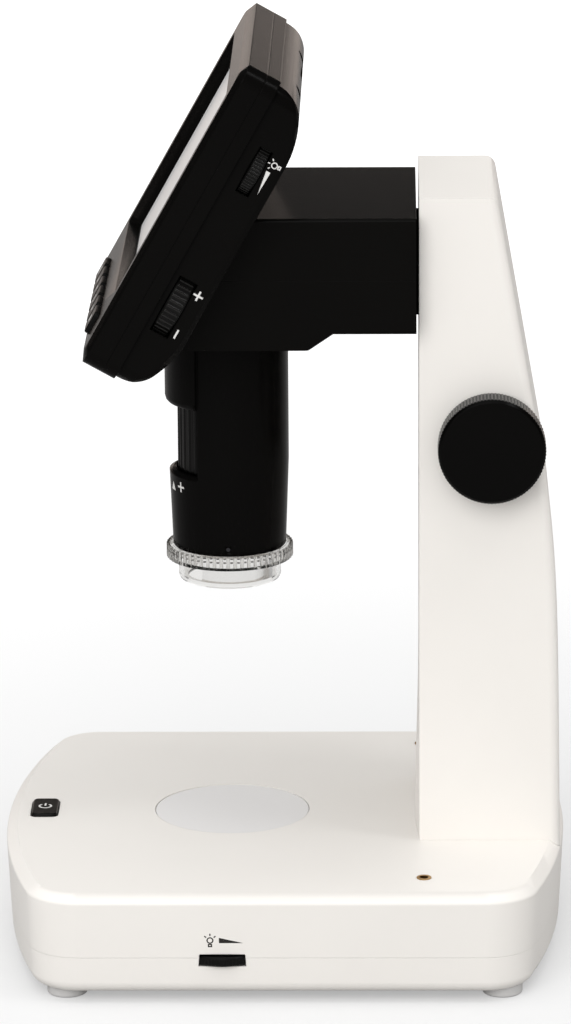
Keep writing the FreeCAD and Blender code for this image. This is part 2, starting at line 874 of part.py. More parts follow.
# Shaft bushes, focus shaft, pinion and knob
bushes = []
for x0, x1 in ((bush_boss_x, column_half_width + 0.1), (-column_half_width + 1, -bush_boss_x)):
    bush = rod_across(pinion_y, pinion_z, bush_radius, x0, x1)
    bushes.append(bush.cut(rod_across(pinion_y, pinion_z, shaft_radius + running_gap, x0 - 1, x1 + 1)))
save("shaft_bushes", bushes)
knob_x = column_half_width + knob_gap
knob_outer_x = knob_x + knob_width
shaft_end_x = knob_outer_x - knob_wall
save(
    "focus_shaft",
    [rod_across(pinion_y, pinion_z, shaft_radius, -column_half_width + 1.3, shaft_end_x)],
)
tooth_angle = 2 * math.pi / pinion_teeth
gear_points = []
for tooth in range(pinion_teeth):
    middle = math.pi + tooth * tooth_angle
    for radius, offset in (
        (pitch_radius - 1.2 * gear_module, -0.36),
        (pitch_radius - 0.1 * gear_module, -0.22),
        (pitch_radius + 0.9 * gear_module, -0.08),
        (pitch_radius + 0.9 * gear_module, 0.08),
        (pitch_radius - 0.1 * gear_module, 0.22),
        (pitch_radius - 1.2 * gear_module, 0.36),
    ):
        angle = middle + offset * tooth_angle
        gear_points.append((pinion_y + radius * math.cos(angle), pinion_z + radius * math.sin(angle)))
pinion = profile_across(gear_points, gear_half_width)
pinion = pinion.cut(rod_across(pinion_y, pinion_z, shaft_radius, -gear_half_width - 1, gear_half_width + 1))
save("drive_pinion", [pinion])
knob = rod_across(pinion_y, pinion_z, knob_radius, knob_x, knob_outer_x)
rims = [e for e in knob.Edges if e.BoundBox.XLength < 0.01 and e.Length > 6 * knob_radius]
knob = knob.makeChamfer(knob_bevel, rims)
ring = rod_across(pinion_y, pinion_z, knob_radius - knob_wall, knob_x - 1, knob_outer_x - knob_wall)
ring = ring.cut(rod_across(pinion_y, pinion_z, shaft_radius + 2.4, knob_x - 2, knob_outer_x))
knob = knob.cut([ring, rod_across(pinion_y, pinion_z, shaft_radius, knob_x - 1, shaft_end_x)])
save("focus_knob", [knob])

# Rack: trapezoid teeth at the pinion's pitch, in step with the pinion
tooth_pitch = math.pi * gear_module
rack_low_z = pinion_z - travel_up - 6
rack_high_z = tongue_top_z - 0.6
pitch_y = pinion_y - pitch_radius
rack_points = [(rack_front_y, rack_high_z), (rack_front_y, rack_low_z)]
root_y = pitch_y - 1.2 * gear_module
tip_y = pitch_y + 0.9 * gear_module
rack_points.append((root_y, rack_low_z))
first = math.ceil((rack_low_z - pinion_z) / tooth_pitch + 0.5)
tooth_z = pinion_z + (first - 0.5) * tooth_pitch
if tooth_z - 0.4 * tooth_pitch < rack_low_z:
    tooth_z = tooth_z + tooth_pitch
while tooth_z + 0.4 * tooth_pitch < rack_high_z:
    rack_points.append((root_y, tooth_z - 0.36 * tooth_pitch))
    rack_points.append((tip_y, tooth_z - 0.11 * tooth_pitch))
    rack_points.append((tip_y, tooth_z + 0.11 * tooth_pitch))
    rack_points.append((root_y, tooth_z + 0.36 * tooth_pitch))
    tooth_z = tooth_z + tooth_pitch
rack_points.append((root_y, rack_high_z))
save("focus_rack", [profile_across(rack_points, gear_half_width)])

# Carriage: runs on the guide rods and carries the rack in a channel
carriage_front_y = inner_front_y + 0.7
carriage_rear_y = rod_y + rod_radius + 1.4
carriage = slab(
    -inner_half_x + 0.6,
    inner_half_x - 0.6,
    carriage_front_y,
    carriage_rear_y,
    tongue_low_z,
    tongue_top_z,
)
channel = slab(
    -rack_channel_x,
    rack_channel_x,
    rack_front_y,
    carriage_rear_y + 1,
    tongue_low_z - 1,
    tongue_top_z + 1,
)
carriage_holes = [
    rod_up(side * rod_x, rod_y, rod_radius + running_gap, tongue_low_z - 1, tongue_top_z + 1)
    for side in (-1, 1)
]
carriage_screw_places = [
    (side * (tongue_half_width - 2.8), z)
    for side in (-1, 1)
    for z in (
        arm_seam_z + (tongue_upper_low + tongue_upper_high) / 2,
        arm_seam_z - (tongue_lower_low + tongue_lower_high) / 2,
    )
]
arm_inner_y = arm_rear_y - arm_wall
carriage_cuts = [channel] + carriage_holes
carriage_screw_end_y = carriage_front_y + carriage_screw_grip
for x, z in carriage_screw_places:
    carriage_cuts.append(
        rod_along(x, z, small_screw_radius, carriage_front_y - 1, carriage_screw_end_y + 0.5)
    )
save("carriage", [carriage.cut(carriage_cuts)])
carriage_screws = []
for x, z in carriage_screw_places:
    head = rod_along(x, z, small_head_radius, arm_inner_y - small_head_height, arm_inner_y)
    shank = rod_along(x, z, small_screw_radius - running_gap, arm_inner_y, carriage_screw_end_y)
    carriage_screws.append(head.fuse(shank))
save("carriage_screws", carriage_screws)

# Screen housing, drawn flat in its own directions and then tilted into place
screen_place = FreeCAD.Placement(
    V(0, screen_face_y, screen_face_z), FreeCAD.Rotation(V(1, 0, 0), 90 - screen_tilt)
)
tilt = math.radians(screen_tilt)


def tilted(shape):
    """Move a shape from the housing's own directions to its place."""
    return shape.transformed(screen_place.toMatrix())


def back_solid(inset, half_width):
    """Rear cover body: two arcs at each end, in shares of its depth, flat between."""
    half = screen_half_height - screen_step
    deep = screen_depth
    edges = []
    ends = []
    for sign, rise in ((1, 0.805), (-1, 0.681)):
        row = [(0, 0.476), (0.052, 0.695), (0.205, 0.852), (0.457, 0.952), (rise, 1)]
        lean = [(1, 0.05), (0.87, 0.5), (0.55, 0.84), (0.25, 0.97), (0, 1)]
        points = []
        for (du, dn), (lean_u, lean_n) in zip(row, lean):
            u = sign * (half - deep * du - inset * lean_u)
            points.append(V(0, u, -deep * dn + inset * lean_n))
        edges.append(Part.Arc(*points[:3]).toShape())
        edges.append(Part.Arc(*points[2:]).toShape())
        foot = V(0, points[0].y, -screen_seam)
        edges.append(Part.makeLine(points[0], foot))
        ends.append((points[-1], foot))
    edges.append(Part.makeLine(ends[0][0], ends[1][0]))
    edges.append(Part.makeLine(ends[0][1], ends[1][1]))
    face = Part.Face(Part.Wire(Part.__sortEdges__(edges)))
    solid = face.extrude(V(2 * half_width, 0, 0))
    solid.translate(V(-half_width, 0, 0))
    return solid


rear_half_x = screen_half_width - screen_step
back_outer = back_solid(0, rear_half_x)
side_edges = []
for edge in back_outer.Edges:
    box = edge.BoundBox
    if box.XLength < 0.01 and box.ZMax < -screen_seam - 2:
        side_edges.append(edge)
back_outer = back_outer.makeChamfer(1.3, side_edges)
rear_band = rounded_plate(
    0, 0, screen_half_width, screen_half_height, screen_corner, -screen_flange, -screen_seam
)
corner_cut = rounded_plate(
    0, 0, rear_half_x, screen_half_height - screen_step + 0.4, screen_corner, -screen_depth - 2, -screen_seam
)
rear_outer = back_outer.common(corner_cut).fuse(rear_band)
screen_front_outer = Part.makeLoft(
    [
        rounded_wire(0, 0, screen_half_width, screen_half_height, screen_corner, -screen_bevel_depth),
        rounded_wire(
            0,
            0,
            screen_half_width - screen_bevel_side,
            screen_half_height - screen_bevel_end,
            screen_corner - screen_bevel_side,
            0,
        ),
    ],
    True,
    True,
)
screen_front_body = rounded_plate(
    0, 0, screen_half_width, screen_half_height, screen_corner, -screen_seam, -screen_bevel_depth
)
screen_front_outer = screen_front_outer.fuse(screen_front_body).removeSplitter()
envelope = tilted(rear_outer.fuse(screen_front_outer))

# Screen front shell: window with sloping walls, six button holes, bosses
inner_half_width = screen_half_width - screen_wall
inner_half_height = screen_half_height - screen_wall
top_screw_u = inner_half_height - housing_screw_margin
low_screw_x = inner_half_width - housing_low_margin
low_screw_u = -screen_half_height + housing_low_rise
top_screws = [(side * housing_screw_x, top_screw_u) for side in (-1, 1)]
low_screws = [(side * low_screw_x, low_screw_u) for side in (-1, 1)]
housing_places = top_screws + low_screws
housing_boss_radius = small_head_radius + housing_boss_wall
front_shell = screen_front_outer.cut(
    rounded_plate(
        0,
        0,
        screen_half_width - screen_wall,
        screen_half_height - screen_wall,
        screen_corner - screen_wall,
        -screen_seam - 1,
        -display_recess,
    )
)
window_mid = (window_top + window_bottom) / 2
window_half = (window_top - window_bottom) / 2
window_cut = Part.makeLoft(
    [
        rounded_wire(0, window_mid, window_half_x, window_half, window_corner, 0),
        rounded_wire(
            0, display_u, display_half_x + 0.2, display_half_y + 0.2, window_corner / 2, -display_recess
        ),
    ],
    True,
    True,
)
window_above = rounded_plate(0, window_mid, window_half_x, window_half, window_corner, 0, 2)
menu_places = [menu_pitch * (k - 2.5) for k in range(6)]
front_adds = [rod_up(x, u, 2.4, -screen_seam, -display_recess + 0.2) for x, u in housing_places]
menu_board_half_x = menu_places[-1] + menu_half_x + menu_board_end
board_posts = [(side * (menu_board_half_x - menu_post_inset), menu_u) for side in (-1, 1)]
front_adds += [rod_up(x, u, menu_post_radius, -screen_seam, -display_recess + 0.2) for x, u in board_posts]
front_shell = front_shell.fuse(front_adds)
front_cuts = [window_cut, window_above]
for x in menu_places:
    front_cuts.append(
        rounded_plate(
            x,
            menu_u,
            menu_half_x + sliding_gap,
            menu_half_y + sliding_gap,
            menu_corner + sliding_gap,
            -display_recess - 1,
            1,
        )
    )
for x, u in housing_places:
    front_cuts.append(rod_up(x, u, small_screw_radius, -screen_seam - 1, -1.6))
front_shell = front_shell.cut(front_cuts)
save("screen_front_shell", [tilted(front_shell)])

# Display panel: frame with the picture area raised to the window
panel_u0 = display_u - display_half_y - 2 * display_border + 0.2
panel_u1 = display_u + display_half_y + display_border
panel = slab(
    -display_half_x - display_border,
    display_half_x + display_border,
    panel_u0,
    panel_u1,
    -display_recess - display_thickness,
    -display_recess,
)
save("display_panel", [tilted(panel)])

# Menu buttons over their switches on the button board
lip_n = -display_recess - joint_gap
stem_n = lip_n - menu_lip_thickness - menu_stem
for k, x in enumerate(menu_places):
    cap = rounded_plate(
        x, menu_u, menu_half_x, menu_half_y, menu_corner, lip_n - menu_lip_thickness, menu_proud
    )
    cap = cap.makeFillet(0.5, [e for e in cap.Edges if e.BoundBox.ZMin > menu_proud - 0.01])
    lip = rounded_plate(
        x,
        menu_u,
        menu_half_x + menu_lip,
        menu_half_y + menu_lip,
        menu_corner + menu_lip,
        lip_n - menu_lip_thickness,
        lip_n,
    )
    stem = slab(
        x - menu_stem_half,
        x + menu_stem_half,
        menu_u - menu_stem_half,
        menu_u + menu_stem_half,
        stem_n,
        lip_n - menu_lip_thickness,
    )
    save("menu_button_" + str(k + 1), [tilted(cap.fuse([lip, stem]))])
board_n = -screen_seam - board_thickness
button_board = rounded_plate(
    0, menu_u, menu_board_half_x, menu_half_y + menu_board_edge, 1, board_n, -screen_seam
)
notch_radius = housing_boss_radius + menu_board_notch_gap
button_board = button_board.cut(
    [rod_up(x, u, notch_radius, board_n - 1, -screen_seam + 1) for x, u in low_screws]
)
domes = []
for x in menu_places:
    dome_n = stem_n - menu_travel - joint_gap
    domes.append(
        slab(
            x - menu_dome_half,
            x + menu_dome_half,
            menu_u - menu_dome_half,
            menu_u + menu_dome_half,
            -screen_seam,
            dome_n,
        )
    )
save("button_board", [tilted(button_board.fuse(domes))])

# Screen rear shell: bosses, board posts, wheel slots and the card slit
rear_hollow = back_solid(screen_wall, rear_half_x - screen_wall)
rear_shell = rear_outer.cut(rear_hollow)
rear_shell = rear_shell.cut(
    rounded_plate(
        0,
        0,
        screen_half_width - screen_wall,
        screen_half_height - screen_wall,
        screen_corner - screen_wall,
        -screen_flange + screen_wall,
        -screen_seam + 1,
    )
)
inner_back_n = -screen_depth + screen_wall
board_x0 = -inner_half_width + main_board_left_margin
board_x1 = inner_half_width - main_board_right_margin
board_u0 = -inner_half_height + main_board_low_margin
board_u1 = inner_half_height - main_board_top_margin
board_back_n = main_board_n - board_thickness
main_posts = [
    (x, u)
    for x in (board_x0 + main_post_inset, main_post_x)
    for u in (board_u0 + main_post_inset, board_u1 - main_post_inset)
]
head_n = housing_head_n
rear_adds = [rod_up(x, u, 2.5, inner_back_n - 0.5, board_back_n) for x, u in main_posts]
rear_adds += [rod_up(x, u, housing_boss_radius, -screen_depth, -screen_seam) for x, u in housing_places]
card_floor_n = inner_back_n + card_lift
card_top_n = card_floor_n + card_socket_height
slit_n = (card_floor_n + card_top_n - card_slit) / 2
rear_adds.append(
    slab(
        card_x - card_half,
        card_x + card_half,
        card_socket_low_u + card_socket_rim,
        card_socket_high_u - card_socket_rim,
        inner_back_n - 0.5,
        card_floor_n,
    )
)
rear_shell = rear_shell.fuse([post.common(rear_outer) for post in rear_adds])
screen_screw_places = [
    (side * screen_screw_x, u) for side in (-1, 1) for u in (screen_screw_top_u, screen_screw_low_u)
]
light_slot_n = (light_wheel_n - light_wheel_thickness / 2, light_wheel_n + light_wheel_thickness / 2)
zoom_slot_n = (zoom_wheel_n - zoom_wheel_thickness / 2, zoom_wheel_n + zoom_wheel_thickness / 2)
light_wheel_x = rear_half_x + wheel_proud - light_wheel_radius
zoom_wheel_x = rear_half_x + wheel_proud - zoom_wheel_radius
rear_cuts = [
    slab(
        light_wheel_x,
        screen_half_width + 2,
        light_wheel_u - light_slot_half,
        light_wheel_u + light_slot_half,
        light_slot_n[0] - wheel_slot_gap,
        light_slot_n[1] + wheel_slot_gap,
    ),
    slab(
        zoom_wheel_x,
        screen_half_width + 2,
        zoom_wheel_u - zoom_slot_half,
        zoom_wheel_u + zoom_slot_half,
        zoom_slot_n[0] - wheel_slot_gap,
        zoom_slot_n[1] + wheel_slot_gap,
    ),
    slab(
        card_x - card_half,
        card_x + card_half,
        card_socket_high_u,
        screen_half_height + 2,
        slit_n,
        slit_n + card_slit,
    ),
    rod_up(0, cable_hole_u, cable_hole_radius, -screen_depth - 1, inner_back_n + 1),
]
for x, u, radius, slot in (
    (light_wheel_x, light_wheel_u, light_wheel_radius, light_slot_n),
    (zoom_wheel_x, zoom_wheel_u, zoom_wheel_radius, zoom_slot_n),
):
    pocket_radius = radius + wheel_slot_gap
    rear_cuts.append(rod_up(x, u, pocket_radius, slot[0] - wheel_slot_gap, slot[1] + wheel_slot_gap))
for x, u in housing_places:
    rear_cuts.append(rod_up(x, u, small_screw_radius + 0.2, head_n - 1, -screen_seam + 1))
    rear_cuts.append(rod_up(x, u, small_head_radius + 0.2, -screen_depth - 2, head_n))
for x, u in screen_screw_places:
    rear_cuts.append(rod_up(x, u, small_screw_radius + 0.1, -screen_depth - 1, inner_back_n + 1))
rear_shell = rear_shell.cut(rear_cuts)
save("screen_rear_shell", [tilted(rear_shell)])
housing_screws = []
for x, u in housing_places:
    head = rod_up(x, u, small_head_radius, head_n - small_head_height, head_n)
    shank = rod_up(x, u, small_screw_radius - running_gap, head_n, -2.2)
    housing_screws.append(tilted(head.fuse(shank)))
save("housing_screws", housing_screws)
screen_screws = []
for x, u in screen_screw_places:
    head = rod_up(x, u, small_head_radius, inner_back_n, inner_back_n + small_head_height)
    shank = rod_up(x, u, small_screw_radius - running_gap, inner_back_n - 9, inner_back_n)
    screen_screws.append(tilted(head.fuse(shank)))
save("screen_screws", screen_screws)

# Main board, card socket, ring light wheel and zoom wheel with their bodies
main_board = slab(board_x0, board_x1, board_u0, board_u1, board_back_n, main_board_n)
chips = [
    slab(-12, 2, -6, 8, board_back_n - 1.2, board_back_n),
    slab(-26, -17, -4, 5, board_back_n - 1.0, board_back_n),
]
save("main_board", [tilted(main_board.fuse(chips))])
card_socket = slab(
    card_x - card_half - card_socket_rim,
    card_x + card_half + card_socket_rim,
    card_socket_low_u,
    card_socket_high_u,
    card_floor_n,
    card_top_n,
)
card_socket = card_socket.cut(
    slab(
        card_x - card_half,
        card_x + card_half,
        card_socket_low_u + card_socket_rim,
        card_socket_high_u + 1,
        slit_n,
        slit_n + card_slit,
    )
)
save("card_socket", [tilted(card_socket)])
for name, body_name, x, u, radius, slot in (
    ("ring_light_wheel", "ring_light_dimmer", light_wheel_x, light_wheel_u, light_wheel_radius, light_slot_n),
    ("zoom_wheel", "zoom_switch", zoom_wheel_x, zoom_wheel_u, zoom_wheel_radius, zoom_slot_n),
):
    wheel = rod_up(x, u, radius, slot[0], slot[1])
    wheel = wheel.makeChamfer(0.3, [e for e in wheel.Edges if e.Length > 6 * radius])
    wheel = wheel.cut(rod_up(x, u, spindle_radius + running_gap, slot[0] - 1, slot[1] + 1))
    save(name, [tilted(wheel)])
    body = slab(x - 4, x + 4, u - 4, u + 4, slot[1] + joint_gap, board_back_n)
    body = body.fuse(rod_up(x, u, spindle_radius, slot[0] + 0.3, slot[1] + 1))
    save(body_name, [tilted(body)])


def behind_screen(z, extra):
    """Y of a plane parallel to the rear cover, extra behind it, at height z."""
    depth = screen_depth + extra
    u = (z - screen_face_z + depth * math.sin(tilt)) / math.cos(tilt)
    return screen_face_y + u * math.sin(tilt) + depth * math.cos(tilt)


# Arm upper shell with its tongue
room = joint_gap
upper_outline = [
    (arm_rear_y, arm_seam_z),
    (arm_rear_y, arm_top_z),
    (behind_screen(arm_top_z, room), arm_top_z),
    (behind_screen(arm_seam_z, room), arm_seam_z),
]
upper_inner = [
    (arm_inner_y, arm_seam_z - 1),
    (arm_inner_y, arm_top_z - arm_wall),
    (behind_screen(arm_top_z - arm_wall, room + arm_wall), arm_top_z - arm_wall),
    (behind_screen(arm_seam_z - 1, room + arm_wall), arm_seam_z - 1),
]
arm_upper = profile_across(upper_outline, arm_half_width)
long_edges = []
for edge in arm_upper.Edges:
    box = edge.BoundBox
    if box.XLength < 0.01 and box.ZMin > arm_top_z - 0.01:
        long_edges.append(edge)
arm_upper = arm_upper.makeFillet(arm_edge_radius, long_edges)
arm_upper = arm_upper.cut(profile_across(upper_inner, arm_half_width - arm_wall))
arm_upper_adds = [
    slab(
        -tongue_half_width,
        tongue_half_width,
        arm_inner_y,
        carriage_front_y,
        arm_seam_z + tongue_upper_low,
        tongue_top_z,
    )
]
arm_upper_adds += [
    rod_up(side * arm_screw_x, arm_screw_y, arm_boss_radius, arm_seam_z, arm_top_z - 1)
    for side in (-1, 1)
]
boss_end_n = -screen_depth - screen_boss_length
upper_screen_bosses = []
lower_screen_bosses = []
for side in (-1, 1):
    boss_x = side * screen_screw_x
    for u, group in ((screen_screw_top_u, upper_screen_bosses), (screen_screw_low_u, lower_screen_bosses)):
        group.append(tilted(rod_up(boss_x, u, screen_boss_radius, boss_end_n, -screen_depth - 0.5)))
arm_upper = arm_upper.fuse(arm_upper_adds + upper_screen_bosses)
screen_screw_holes = [
    tilted(rod_up(x, u, small_screw_radius, boss_end_n + 1, -screen_depth + 1))
    for x, u in screen_screw_places
]
cable_hole = tilted(rod_up(0, cable_hole_u, cable_hole_radius, -screen_depth - 4, -screen_depth + 1))
arm_cuts = [envelope, cable_hole] + screen_screw_holes
for x, z in carriage_screw_places:
    arm_cuts.append(rod_along(x, z, small_screw_radius + 0.1, arm_inner_y - 1, carriage_front_y + 1))
upper_pilots = [
    rod_up(side * arm_screw_x, arm_screw_y, small_screw_radius, arm_seam_z - 1, arm_seam_z + 9)
    for side in (-1, 1)
]
arm_upper = arm_upper.cut(arm_cuts + upper_pilots)
save("arm_upper_shell", [arm_upper])

# Arm lower shell: slanting underside, tongue, floor holes for the barrel
lower_outline = [
    (arm_rear_y, arm_seam_z),
    (arm_rear_y, arm_rear_z),
    (arm_slant_rear_y, arm_rear_z),
    (arm_slant_front_y, arm_bottom_z),
    (behind_screen(arm_bottom_z, -6), arm_bottom_z),
    (behind_screen(arm_bottom_z + 8, -6), arm_bottom_z + 8),
    (behind_screen(arm_bottom_z + 8, room), arm_bottom_z + 8),
    (behind_screen(arm_seam_z, room), arm_seam_z),
]
lower_inner = [
    (arm_inner_y, arm_seam_z + 1),
    (arm_inner_y, arm_rear_z + arm_wall),
    (arm_slant_rear_y - 0.8, arm_rear_z + arm_wall),
    (arm_slant_front_y - 0.8, arm_bottom_z + arm_wall),
    (behind_screen(arm_bottom_z + arm_wall, room + arm_wall), arm_bottom_z + arm_wall),
    (behind_screen(arm_seam_z + 1, room + arm_wall), arm_seam_z + 1),
]
arm_lower = profile_across(lower_outline, arm_half_width)
under_edges = []
for edge in arm_lower.Edges:
    box = edge.BoundBox
    if box.XLength < 0.01 and box.ZMax < arm_rear_z + 0.01 and box.YMin > arm_slant_front_y - 0.1:
        under_edges.append(edge)
arm_lower = arm_lower.makeFillet(arm_edge_radius, under_edges)
arm_lower = arm_lower.cut(profile_across(lower_inner, arm_half_width - arm_wall))
arm_lower_adds = [
    slab(
        -tongue_half_width,
        tongue_half_width,
        arm_inner_y,
        carriage_front_y,
        tongue_low_z,
        arm_seam_z - tongue_lower_high,
    )
]
arm_lower_adds += [
    rod_up(side * arm_screw_x, arm_screw_y, arm_boss_radius + 0.2, arm_rear_z + 1, arm_seam_z)
    for side in (-1, 1)
]
arm_lower = arm_lower.fuse(arm_lower_adds + lower_screen_bosses)
mount_places = []
for angle in (90, -20, 200):
    place_x = mount_screw_circle * math.cos(math.radians(angle))
    place_y = barrel_axis_y + mount_screw_circle * math.sin(math.radians(angle))
    mount_places.append((place_x, place_y))
floor_top_z = arm_bottom_z + arm_wall
lower_holes = [rod_up(0, barrel_axis_y, mount_hole_radius, arm_bottom_z - 1, floor_top_z + 1)]
lower_holes += [
    rod_up(x, y, small_screw_radius + 0.1, arm_bottom_z - 1, floor_top_z + 1) for x, y in mount_places
]
arm_head_z = arm_rear_z + arm_screw_recess
for side in (-1, 1):
    lower_holes.append(
        rod_up(side * arm_screw_x, arm_screw_y, small_head_radius + 0.2, arm_rear_z - 1, arm_head_z)
    )
    lower_holes.append(
        rod_up(side * arm_screw_x, arm_screw_y, small_screw_radius + 0.1, arm_head_z - 1, arm_seam_z + 1)
    )
arm_lower = arm_lower.cut(arm_cuts + lower_holes)
save("arm_lower_shell", [arm_lower])
save(
    "arm_screws",
    [
        screw_up(
            side * arm_screw_x,
            arm_screw_y,
            arm_head_z,
            arm_seam_z - arm_head_z + 8,
            small_screw_radius - running_gap,
            small_head_radius,
            small_head_height,
        )
        for side in (-1, 1)
    ],
)

# Barrel shell: taper, mouth for the cap, ledge, finger window and collar
barrel_bottom_z = arm_seam_z - barrel_bottom_drop
mouth_radius = barrel_mouth_radius - mouth_wall
cap_sleeve_radius = mouth_radius - cap_fit
taper_z = barrel_bottom_z + barrel_taper_height
mouth_top_z = barrel_bottom_z + mouth_depth
ledge_top_z = mouth_top_z + ledge_thickness
collar_z = arm_bottom_z - collar_height
window_top_z = collar_z
window_low_z = window_top_z - finger_window_height
barrel = turned(
    [
        (mouth_radius, barrel_bottom_z),
        (barrel_mouth_radius - 0.4, barrel_bottom_z),
        (barrel_mouth_radius, barrel_bottom_z + 0.4),
        (barrel_radius, taper_z),
        (barrel_radius, arm_bottom_z),
        (barrel_bore, arm_bottom_z),
        (barrel_bore, ledge_top_z),
        (ledge_radius, ledge_top_z),
        (ledge_radius, mouth_top_z),
        (mouth_radius, mouth_top_z),
    ],
    barrel_axis_y,
)
collar_radius = barrel_radius + collar_proud
collar = turned_front(
    [
        (barrel_radius - 0.6, collar_z),
        (barrel_radius + 0.2, collar_z),
        (collar_radius - 0.25, collar_z + 0.5),
        (collar_radius, collar_z + 1.4),
        (collar_radius, arm_bottom_z),
        (barrel_radius - 0.6, arm_bottom_z),
    ],
    barrel_axis_y,
    finger_half_angle,
)
finger_window = turned_front(
    [
        (barrel_bore - 1, window_low_z),
        (barrel_bore, window_low_z),
        (barrel_radius + 1, window_low_z - finger_lip_slope),
        (barrel_radius + 1, window_top_z),
        (barrel_bore - 1, window_top_z),
    ],
    barrel_axis_y,
    finger_half_angle,
)
side_screw_z = barrel_bottom_z + side_screw_height
side_screw_x = barrel_mouth_radius - 0.8
side_screw_hole = rod_across(
    barrel_axis_y, side_screw_z, side_screw_radius + running_gap, side_screw_x, barrel_radius + 2
)
barrel = barrel.fuse(collar).cut([finger_window, side_screw_hole, envelope])
save("barrel_shell", [barrel])
save(
    "barrel_screw",
    [rod_across(barrel_axis_y, side_screw_z, side_screw_radius, side_screw_x, side_screw_x + 0.7)],
)

# Focus sleeve, lens carrier, lens, ring light, sensor and their mount
sleeve_z = ledge_top_z + joint_gap
sleeve_top_z = sleeve_z + sleeve_length
sleeve_radius = barrel_bore - sliding_gap - sleeve_rib
sleeve_bore = sleeve_radius - sleeve_wall
save(
    "focus_sleeve",
    [
        rod_up(0, barrel_axis_y, sleeve_radius, sleeve_z, sleeve_top_z).cut(
            rod_up(0, barrel_axis_y, sleeve_bore, sleeve_z - 1, sleeve_top_z + 1)
        )
    ],
)
carrier_z = sleeve_z + 4
carrier_radius = sleeve_bore - sliding_gap
lens_z = carrier_z + 1
lens_seat_z = lens_z + lens_thickness
carrier = turned(
    [
        (lens_radius, carrier_z),
        (carrier_radius, carrier_z),
        (carrier_radius, carrier_z + carrier_length),
        (lens_radius - 0.5, carrier_z + carrier_length),
        (lens_radius - 1.5, lens_seat_z),
        (lens_radius, lens_seat_z),
    ],
    barrel_axis_y,
)
save("lens_carrier", [carrier])
lens = rod_up(0, barrel_axis_y, lens_radius, lens_z, lens_seat_z)
lower_ball = Part.makeSphere(lens_radius * 2, V(0, barrel_axis_y, lens_z - 0.4 + lens_radius * 2))
save("objective_lens", [lens.common(lower_ball)])
ring_board_z = mouth_top_z - 1.2
ring_board = rod_up(0, barrel_axis_y, mouth_radius - 0.15, ring_board_z, mouth_top_z)
ring_board = ring_board.cut(rod_up(0, barrel_axis_y, lens_radius, ring_board_z - 1, mouth_top_z + 1))
ring_lamps = []
for k in range(8):
    angle = math.radians(45 * k + 22.5)
    lamp_x = (mouth_radius - 2.9) * math.cos(angle)
    lamp_y = barrel_axis_y + (mouth_radius - 2.9) * math.sin(angle)
    ring_lamps.append(
        slab(lamp_x - 0.9, lamp_x + 0.9, lamp_y - 0.9, lamp_y + 0.9, ring_board_z - 0.4, ring_board_z)
    )
save("ring_light_board", [ring_board.fuse(ring_lamps)])
mount_radius = barrel_bore - 0.05
mount_low_z = sleeve_top_z + 0.4
mount_plate_z = arm_bottom_z - sensor_mount_plate
mount = turned(
    [
        (0, mount_plate_z),
        (0, arm_bottom_z),
        (mount_radius, arm_bottom_z),
        (mount_radius, mount_low_z),
        (mount_radius - 1.6, mount_low_z),
        (mount_radius - 1.6, mount_plate_z),
    ],
    barrel_axis_y,
)
sensor_z = mount_plate_z - sensor_post_length
post = rod_up(0, barrel_axis_y, 7.5, sensor_z, mount_plate_z)
post = post.cut(rod_up(0, barrel_axis_y, 6, sensor_z - 1, mount_plate_z))
mount = mount.fuse(post)
mount_cuts = [rod_up(x, y, small_screw_radius, mount_plate_z - 1, arm_bottom_z + 1) for x, y in mount_places]
mount_cuts.append(rod_up(0, barrel_axis_y, mount_hole_radius, mount_plate_z - 1, arm_bottom_z + 1))
mount_cuts.append(envelope)
save("sensor_mount", [mount.cut(mount_cuts)])
sensor_board = rod_up(0, barrel_axis_y, mount_radius - 2.2, sensor_z - board_thickness, sensor_z)
sensor = slab(
    -3.5,
    3.5,
    barrel_axis_y - 3.5,
    barrel_axis_y + 3.5,
    sensor_z - board_thickness - 1.2,
    sensor_z - board_thickness,
)
save("sensor_board", [sensor_board.fuse(sensor)])
mount_screws = []
for x, y in mount_places:
    head = rod_up(x, y, small_head_radius, floor_top_z, floor_top_z + small_head_height)
    shank = rod_up(x, y, small_screw_radius - running_gap, mount_plate_z + 0.2, floor_top_z)
    mount_screws.append(head.fuse(shank))
save("mount_screws", mount_screws)

# Clear cap: ring round the barrel's mouth and an open sleeve pushed into it
cap_flange_z = barrel_bottom_z - joint_gap
cap_lip_z = barrel_bottom_z + cap_ring_overlap
cap_ring_z = cap_lip_z - cap_ring_height
cap_low_z = barrel_bottom_z - cap_sleeve_drop
cap_top_z = ring_board_z - cap_top_gap
cap_bore = cap_sleeve_radius - cap_wall
ring_radius = cap_ring_radius - cap_ring_rib
lip_bore = barrel_mouth_radius + sliding_gap
cap = turned(
    [
        (cap_bore, cap_top_z),
        (cap_sleeve_radius, cap_top_z),
        (cap_sleeve_radius, cap_flange_z),
        (lip_bore, cap_flange_z),
        (lip_bore, cap_lip_z),
        (ring_radius, cap_lip_z),
        (ring_radius, cap_ring_z),
        (cap_sleeve_radius, cap_ring_z),
        (cap_sleeve_radius, cap_low_z + 0.9),
        (cap_sleeve_radius - 0.25, cap_low_z + 0.3),
        (cap_sleeve_radius - 0.9, cap_low_z),
        (cap_bore - cap_rim, cap_low_z),
        (cap_bore - cap_rim, cap_low_z + 1.2),
        (cap_bore, cap_low_z + 1.2),
    ],
    barrel_axis_y,
)
save("clear_cap", [cap])
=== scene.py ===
import math

import bmesh
import bpy
from mathutils import Matrix, Vector


